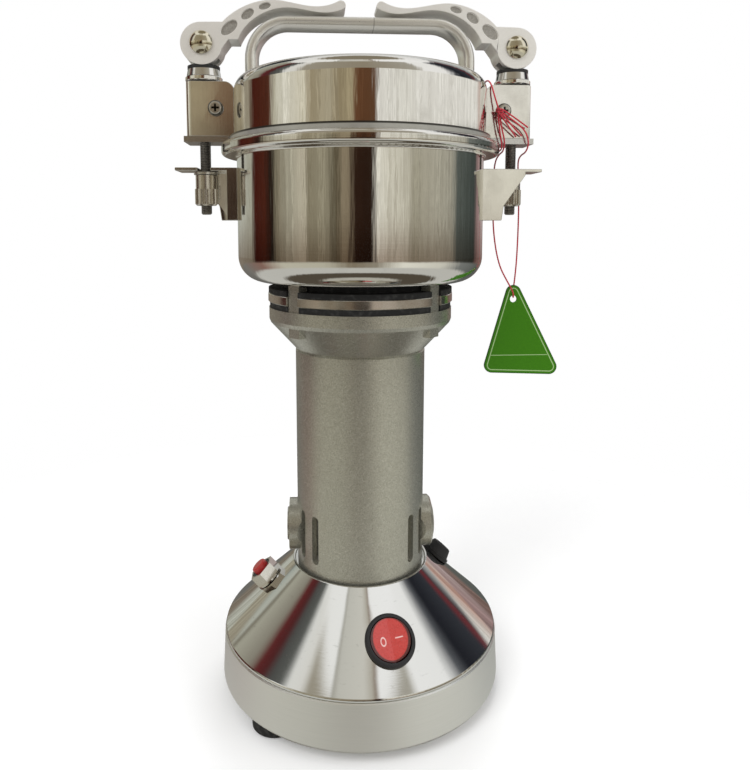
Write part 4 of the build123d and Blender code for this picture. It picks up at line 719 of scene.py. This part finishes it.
# A grey sheet stands behind each pair of vent slots and keeps flour off the brushes.
swing = np.radians(np.linspace(36, 73, 20))
for k, quarter in enumerate((swing, math.pi - swing, math.pi + swing, -swing)):
    liner = sheet_arc(f"vent_liner_{k + 1}", quarter, 0.0625, 0.1010, 0.0284, 0.0280)
    liner.data.materials.append(lacquer)
    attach(liner, "base")

# ---------------------------------------------------------------- Motor, fixed parts
# The frame is cast aluminium and holds two ground ball bearings. The stator is a stack of
# stamped sheets with enamelled copper coils, and its brushes are carbon on brass springs.
cast, shader, point = finish("bare_casting", Metallic=0.9)
lumps = noise(point, 900, 5.0)
feed(
    shader,
    Base_Color=point.mix(lumps, (0.46, 0.46, 0.45), (0.66, 0.66, 0.65)),
    Roughness=0.45 + 0.25 * lumps,
    Normal=relief(lumps, 0.00012, 0.6),
)
dress(cast, "lower_end_frame")
ground, shader, point = finish("ground_steel", Metallic=1.0)
hone = noise(point, 300, 3.0, (1, 1, 30))
feed(
    shader,
    Base_Color=point.mix(hone, (0.62, 0.62, 0.63), (0.76, 0.76, 0.77)),
    Roughness=0.12 + 0.16 * hone,
    Normal=relief(hone, 0.00001, 0.5),
)
dress(ground, "ball_bearings", "motor_shaft")
sheets, shader, point = finish("stamped_sheets", Metallic=0.8)
x, y, z = axes(point)
sheet_thickness = 0.0005
gap = abs(point.math("FRACT", z / sheet_thickness) - 0.5)
oxide = noise(point, 700, 4.0)
feed(
    shader,
    Base_Color=point.mix(oxide, (0.10, 0.10, 0.115), (0.24, 0.24, 0.26)),
    Roughness=0.4 + 0.25 * oxide,
    Normal=relief(gap.step(0.40, 0.48) * -1, 0.00012, 0.8),
)
dress(sheets, "stator_core", "armature_core")
wire, shader, point = finish("enamelled_wire", Metallic=0.85, Coat_Weight=0.5)
x, y, z = axes(point)
wound = abs(point.math("FRACT", (x + y * 0.6) * 1400 + noise(point, 90) * 1.2) - 0.5)
# The gaps between the turns of wire are painted dark, as painted shade, and the bump sinks them.
feed(
    shader,
    Base_Color=point.mix(wound.step(0.2, 0.5), (0.52, 0.20, 0.09), (0.16, 0.05, 0.02)),
    Roughness=0.28 + 0.2 * wound,
    Normal=relief(wound * -1, 0.00025, 0.8),
)
dress(wire, "field_coils", "armature_windings")
carbon, shader, point = finish("pressed_carbon")
grit = noise(point, 3200, 4.0)
feed(
    shader,
    Base_Color=point.mix(grit, (0.02, 0.02, 0.021), (0.07, 0.07, 0.07)),
    Roughness=0.5 + 0.3 * grit,
    Normal=relief(grit, 0.00006, 0.5),
)
dress(carbon, "carbon_brushes")
brass, shader, point = finish("bright_brass", Metallic=1.0)
tarnish = noise(point, 500, 4.0)
feed(
    shader,
    Base_Color=point.mix(tarnish, (0.80, 0.58, 0.26), (0.52, 0.33, 0.14)),
    Roughness=0.18 + 0.25 * tarnish,
    Normal=relief(noise(point, 2600, 3.0), 0.00002, 0.4),
)
dress(brass, "brush_springs", "terminals")

# ---------------------------------------------------------------- Commutator
# Copper bars round a moulded hub, pressed on the shaft and turned bright, with a dark cut
# between each two bars.
bars, shader, point = finish("commutator_bars", Metallic=0.9)
x, y, z = axes(point)
bar_count = 24
turn_share = point.math("ARCTAN2", x, y) / (2 * math.pi)
cut = abs(point.math("FRACT", turn_share * bar_count) - 0.5)
groove = cut.step(0.44, 0.48)
track = noise(point, 200, 3.0, (1, 1, 12))
copper = point.mix(track, (0.62, 0.30, 0.16), (0.38, 0.17, 0.09))
feed(
    shader,
    Base_Color=point.mix(groove, copper, (0.02, 0.015, 0.012)),
    Roughness=0.2 + 0.3 * track,
    Normal=relief(groove * -1, 0.0002, 0.8),
)
dress(bars, "commutator")

# ---------------------------------------------------------------- End plate, gaskets and seals
# A polished steel plate between two black rubber gaskets closes the motor's top. The bowl is
# clamped down on it by the seal's hub and nut.
dress(rubber, "plate_gaskets", "shaft_seal")
plate_steel, shader, point = finish("polished_plate", Metallic=1.0)
rub = noise(point, 240, 5.0)
feed(
    shader,
    Base_Color=point.mix(rub, (0.92, 0.915, 0.90), (0.80, 0.785, 0.76)),
    Roughness=0.10 + 0.16 * rub,
    Normal=relief(rub, 0.00002, 0.5),
)
dress(plate_steel, "end_plate", "seal_hub", "locating_ring")

# ---------------------------------------------------------------- Blades
# Hardened steel strips, ground flat with the marks across them and sharpened at their edges.
# The nut at the shaft's end clamps them with a spacer between.
blade, shader, point = finish("ground_blade", Metallic=1.0)
strokes = noise(point, 90, 4.0, (1, 34, 1))
feed(
    shader,
    Base_Color=point.mix(strokes, (0.58, 0.58, 0.60), (0.80, 0.80, 0.81)),
    Roughness=0.14 + 0.22 * strokes,
    Normal=relief(strokes, 0.00003, 0.5),
)
dress(blade, "lower_blade", "upper_blade")

# ---------------------------------------------------------------- Bowl and lid
# Deep-drawn stainless steel, polished outside, with a rolled bead at the bowl's rim. Polishing
# leaves long faint waves down the wall and hair lines round it.
drawn, shader, point = finish("drawn_steel", Metallic=1.0)
x, y, z = axes(point)
bearing = point.math("ARCTAN2", x, y * -1)
lid_radius = 0.0605
inwards = lid_radius - (x * x + y * y) ** 0.5
turned = point.node("ShaderNodeCombineXYZ", {}, {0: bearing * 0.06, 1: z * 1.0, 2: inwards})
ripple = noise(turned, 170, 2.0, (2.6, 0.25, 1))
hair = noise(turned, 1500, 3.0, (0.03, 1, 1))
prints = noise(point, 70, 5.0).step(0.56, 0.78)
feed(
    shader,
    Base_Color=point.mix(prints, (0.80, 0.785, 0.76), (0.73, 0.715, 0.69)),
    Roughness=0.05 + 0.04 * hair + 0.07 * prints,
    Normal=relief(ripple + hair * 0.06, 0.00009, 0.6),
)
dress(drawn, "bowl", "lid")
silicone, shader, point = finish("pale_silicone", Coat_Weight=0.6, Coat_Roughness=0.15)
seal_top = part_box("lid_seal")[1].z
x, y, z = axes(point)
bloom = noise(point, 300, 3.0)
shadow = z.step(seal_top - 0.0011, seal_top - 0.0006)
rubbed = point.mix(bloom, (0.40, 0.395, 0.36), (0.52, 0.515, 0.48))
feed(
    shader,
    Base_Color=point.mix(shadow, rubbed, (0.03, 0.027, 0.022)),
    Metallic=0.5,
    Roughness=0.24 + 0.2 * bloom,
    Normal=relief(bloom, 0.00003, 0.4),
)
dress(silicone, "lid_seal")

# ---------------------------------------------------------------- Brackets and latch boxes
# Sheet steel with a satin belt finish, pressed and folded. The brackets are spot-welded to the
# bowl, and the boxes are screwed to the lid with a ground steel block inside each one.
pressed, shader, point = finish("pressed_sheet", Metallic=1.0)
belt = noise(point, 60, 4.0, (60, 60, 1.5))
stain = noise(point, 90, 3.0)
feed(
    shader,
    Base_Color=point.mix(stain.step(0.35, 0.8), (0.88, 0.865, 0.83), (0.74, 0.72, 0.685)),
    Roughness=0.10 + 0.09 * belt,
    Normal=relief(belt, 0.00002, 0.4),
)


def softened(node, width, steps=3, angle=30):
    """A copy of a CAD node for looks: its loose triangles are joined, its flat faces merged, and
    its sharp edges rounded to a width. It stands for the node and rides with it."""
    mesh = nodes[node].data.copy()
    work = bmesh.new()
    work.from_mesh(mesh)
    bmesh.ops.remove_doubles(work, verts=work.verts, dist=2e-6)
    bmesh.ops.dissolve_limit(
        work, angle_limit=math.radians(0.8), verts=work.verts, edges=work.edges
    )
    mesh.clear_geometry()
    work.to_mesh(mesh)
    work.free()
    mesh.name = node + "_edged"
    mesh.polygons.foreach_set("use_smooth", np.ones(len(mesh.polygons), bool))
    mesh.set_sharp_from_angle(angle=math.radians(angle))
    made = bpy.data.objects.new(node + "_edged", mesh)
    bpy.context.scene.collection.objects.link(made)
    rounding = made.modifiers.new("rounding", "BEVEL")
    rounding.width, rounding.segments = width, steps
    rounding.limit_method, rounding.angle_limit = "ANGLE", math.radians(angle)
    rounding.harden_normals = True
    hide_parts(node)
    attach(made, nodes[node]["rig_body"])
    return made


for node in ("bowl_brackets", "latch_boxes"):
    piece = softened(node, 0.0003, 2)
    piece.data.materials.clear()
    piece.data.materials.append(pressed)
dress(ground, "latch_blocks")

# ---------------------------------------------------------------- Handle and cam levers
# Die-cast, tumbled and lacquered pale silver. The tumbling rounds their edges and leaves a faint
# pebbled skin. The floors of the levers' hollows are painted darker, as painted shade.
silver, shader, point = finish("tumbled_silver", Coat_Weight=0.25, Coat_Roughness=0.2)
pebble = noise(point, 1600, 4.0)
patch = noise(point, 140, 3.0)
x, y, z = axes(point)
facing = axes(point.node("ShaderNodeTexCoord", out="Normal"))[1]
painted_hollow_shade = (1 - abs(y).step(0.0062, 0.0067)) * abs(facing).step(0.85, 0.95) * z.step(0.3090, 0.3092)
cast_grey = point.mix(pebble * 0.5 + patch * 0.5, (0.84, 0.82, 0.775), (1.0, 0.985, 0.95))
hollow_shade_colour = point.mix(pebble, (0.20, 0.19, 0.17), (0.62, 0.60, 0.56))
# Painted shade: the floors of the levers' hollows are painted darker.
feed(
    shader,
    Base_Color=point.mix(painted_hollow_shade, cast_grey, hollow_shade_colour),
    Metallic=0.5,
    Roughness=0.26 + 0.12 * pebble,
    Normal=relief(pebble, 0.00003, 0.4),
)
for side in ("left", "right"):
    lever = softened(f"cam_lever_{side}", 0.0009)
    lever.data.materials.clear()
    lever.data.materials.append(silver)
grip, shader, point = finish("rubbed_silver", Coat_Weight=0.2, Coat_Roughness=0.15)
pebble = noise(point, 1800, 4.0)
x, y, z = axes(point)
parting = 1 - abs(x - 0.006).step(0.00012, 0.00030)
rubbed = point.mix(pebble, (0.82, 0.81, 0.77), (0.98, 0.97, 0.93))
feed(
    shader,
    Base_Color=point.mix(parting * 0.6, rubbed, (0.30, 0.29, 0.27)),
    Metallic=0.82,
    Roughness=0.24 + 0.12 * pebble,
    Normal=relief(pebble, 0.00003, 0.4),
)


def bar_skin(name, outer, away, thick, half_deep, power=2.8):
    """A bar inside an outer line in the X-Z plane. Across it, at u from the middle of its
    thickness and v along Y, its skin is where |2 u / thick| ** power + |v / half_deep| ** power
    is 1."""
    turn = np.linspace(0, 2 * math.pi, 44, endpoint=False)
    u = np.sign(np.cos(turn)) * np.abs(np.cos(turn)) ** (2 / power)
    v = np.sign(np.sin(turn)) * np.abs(np.sin(turn)) ** (2 / power) * half_deep
    reach = (u[None, :] - 1) * thick[:, None] / 2
    flat = outer[:, None, :] + away[:, None, :] * reach[:, :, None]
    return skin(name, np.stack([flat[..., 0], 0 * reach + v, flat[..., 1]], -1), ends=True)


# Each leg stands on the lid and bends over into the bar, and the right half mirrors the left.
handle_low, handle_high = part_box("handle")
bend_radius = 0.020
leg_thick, bar_thick = 0.0063, 0.0055
leg_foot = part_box("lid")[1].z - 0.0004
bend = np.radians(np.linspace(180, 90, 18))
heading = np.stack([np.cos(bend), np.sin(bend)], -1)
bend_middle = [handle_low.x + bend_radius, handle_high.z - bend_radius]
half = np.vstack([[[handle_low.x, leg_foot]], heading * bend_radius + bend_middle])
facing = np.vstack([[[-1, 0]], heading])
thick = np.concatenate([[leg_thick], np.linspace(leg_thick, bar_thick, len(bend))])
handle = bar_skin(
    "handle_bar",
    np.vstack([half, half[::-1] * [-1, 1]]),
    np.vstack([facing, facing[::-1] * [-1, 1]]),
    np.concatenate([thick, thick[::-1]]),
    handle_high.y,
)
handle.data.materials.append(grip)
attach(handle, "lid")
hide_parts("handle")

# ---------------------------------------------------------------- Rods, pins and nuts
# The rods are blackened screws. Each cam pin has two domed plated heads, and the thumb nuts are
# nickelled and knurled.
rod_offset = 0.0747
thread_pitch = 0.0008
screw, shader, point = finish("blackened_thread", Metallic=0.9)
x, y, z = axes(point)
winding = point.math("ARCTAN2", y, abs(x) - rod_offset) / (2 * math.pi)
thread_wave = abs(point.math("FRACT", z / thread_pitch + winding) - 0.5) * 2
thread_zone = 1 - z.step(0.2690, 0.2694)
oil = noise(point, 1500, 3.0)
feed(
    # The roots of the thread are painted darker than its crests, as painted shade.
    shader,
    Base_Color=point.mix(thread_wave * thread_zone, (0.14, 0.13, 0.12), (0.36, 0.34, 0.31)),
    Roughness=0.28 + 0.2 * oil,
    Normal=relief(thread_wave * thread_zone, 0.0004, 0.9),
)
dress(screw, "latch_rod_left", "latch_rod_right")
nickel, shader, point = finish("dull_nickel", Metallic=1.0)
vertical_streaks = noise(point, 900, 3.0, (1, 1, 0.15))
# Lighter and darker streaks run up and down the nuts.
feed(
    shader,
    Base_Color=point.mix(vertical_streaks, (0.62, 0.58, 0.52), (0.80, 0.77, 0.72)),
    Roughness=0.16 + 0.2 * vertical_streaks,
    Normal=relief(vertical_streaks, 0.00003, 0.5),
)
dress(nickel, "knurled_nut_left", "knurled_nut_right")
dome, shader, point = finish("domed_head", Metallic=1.0)
cloudy = noise(point, 700, 3.0)
feed(
    shader,
    Base_Color=point.mix(cloudy, (0.78, 0.74, 0.62), (0.66, 0.60, 0.46)),
    Roughness=0.07 + 0.1 * cloudy,
    Normal=relief(cloudy, 0.00001, 0.4),
)
dress(dome, "cam_pin_left", "cam_pin_right")
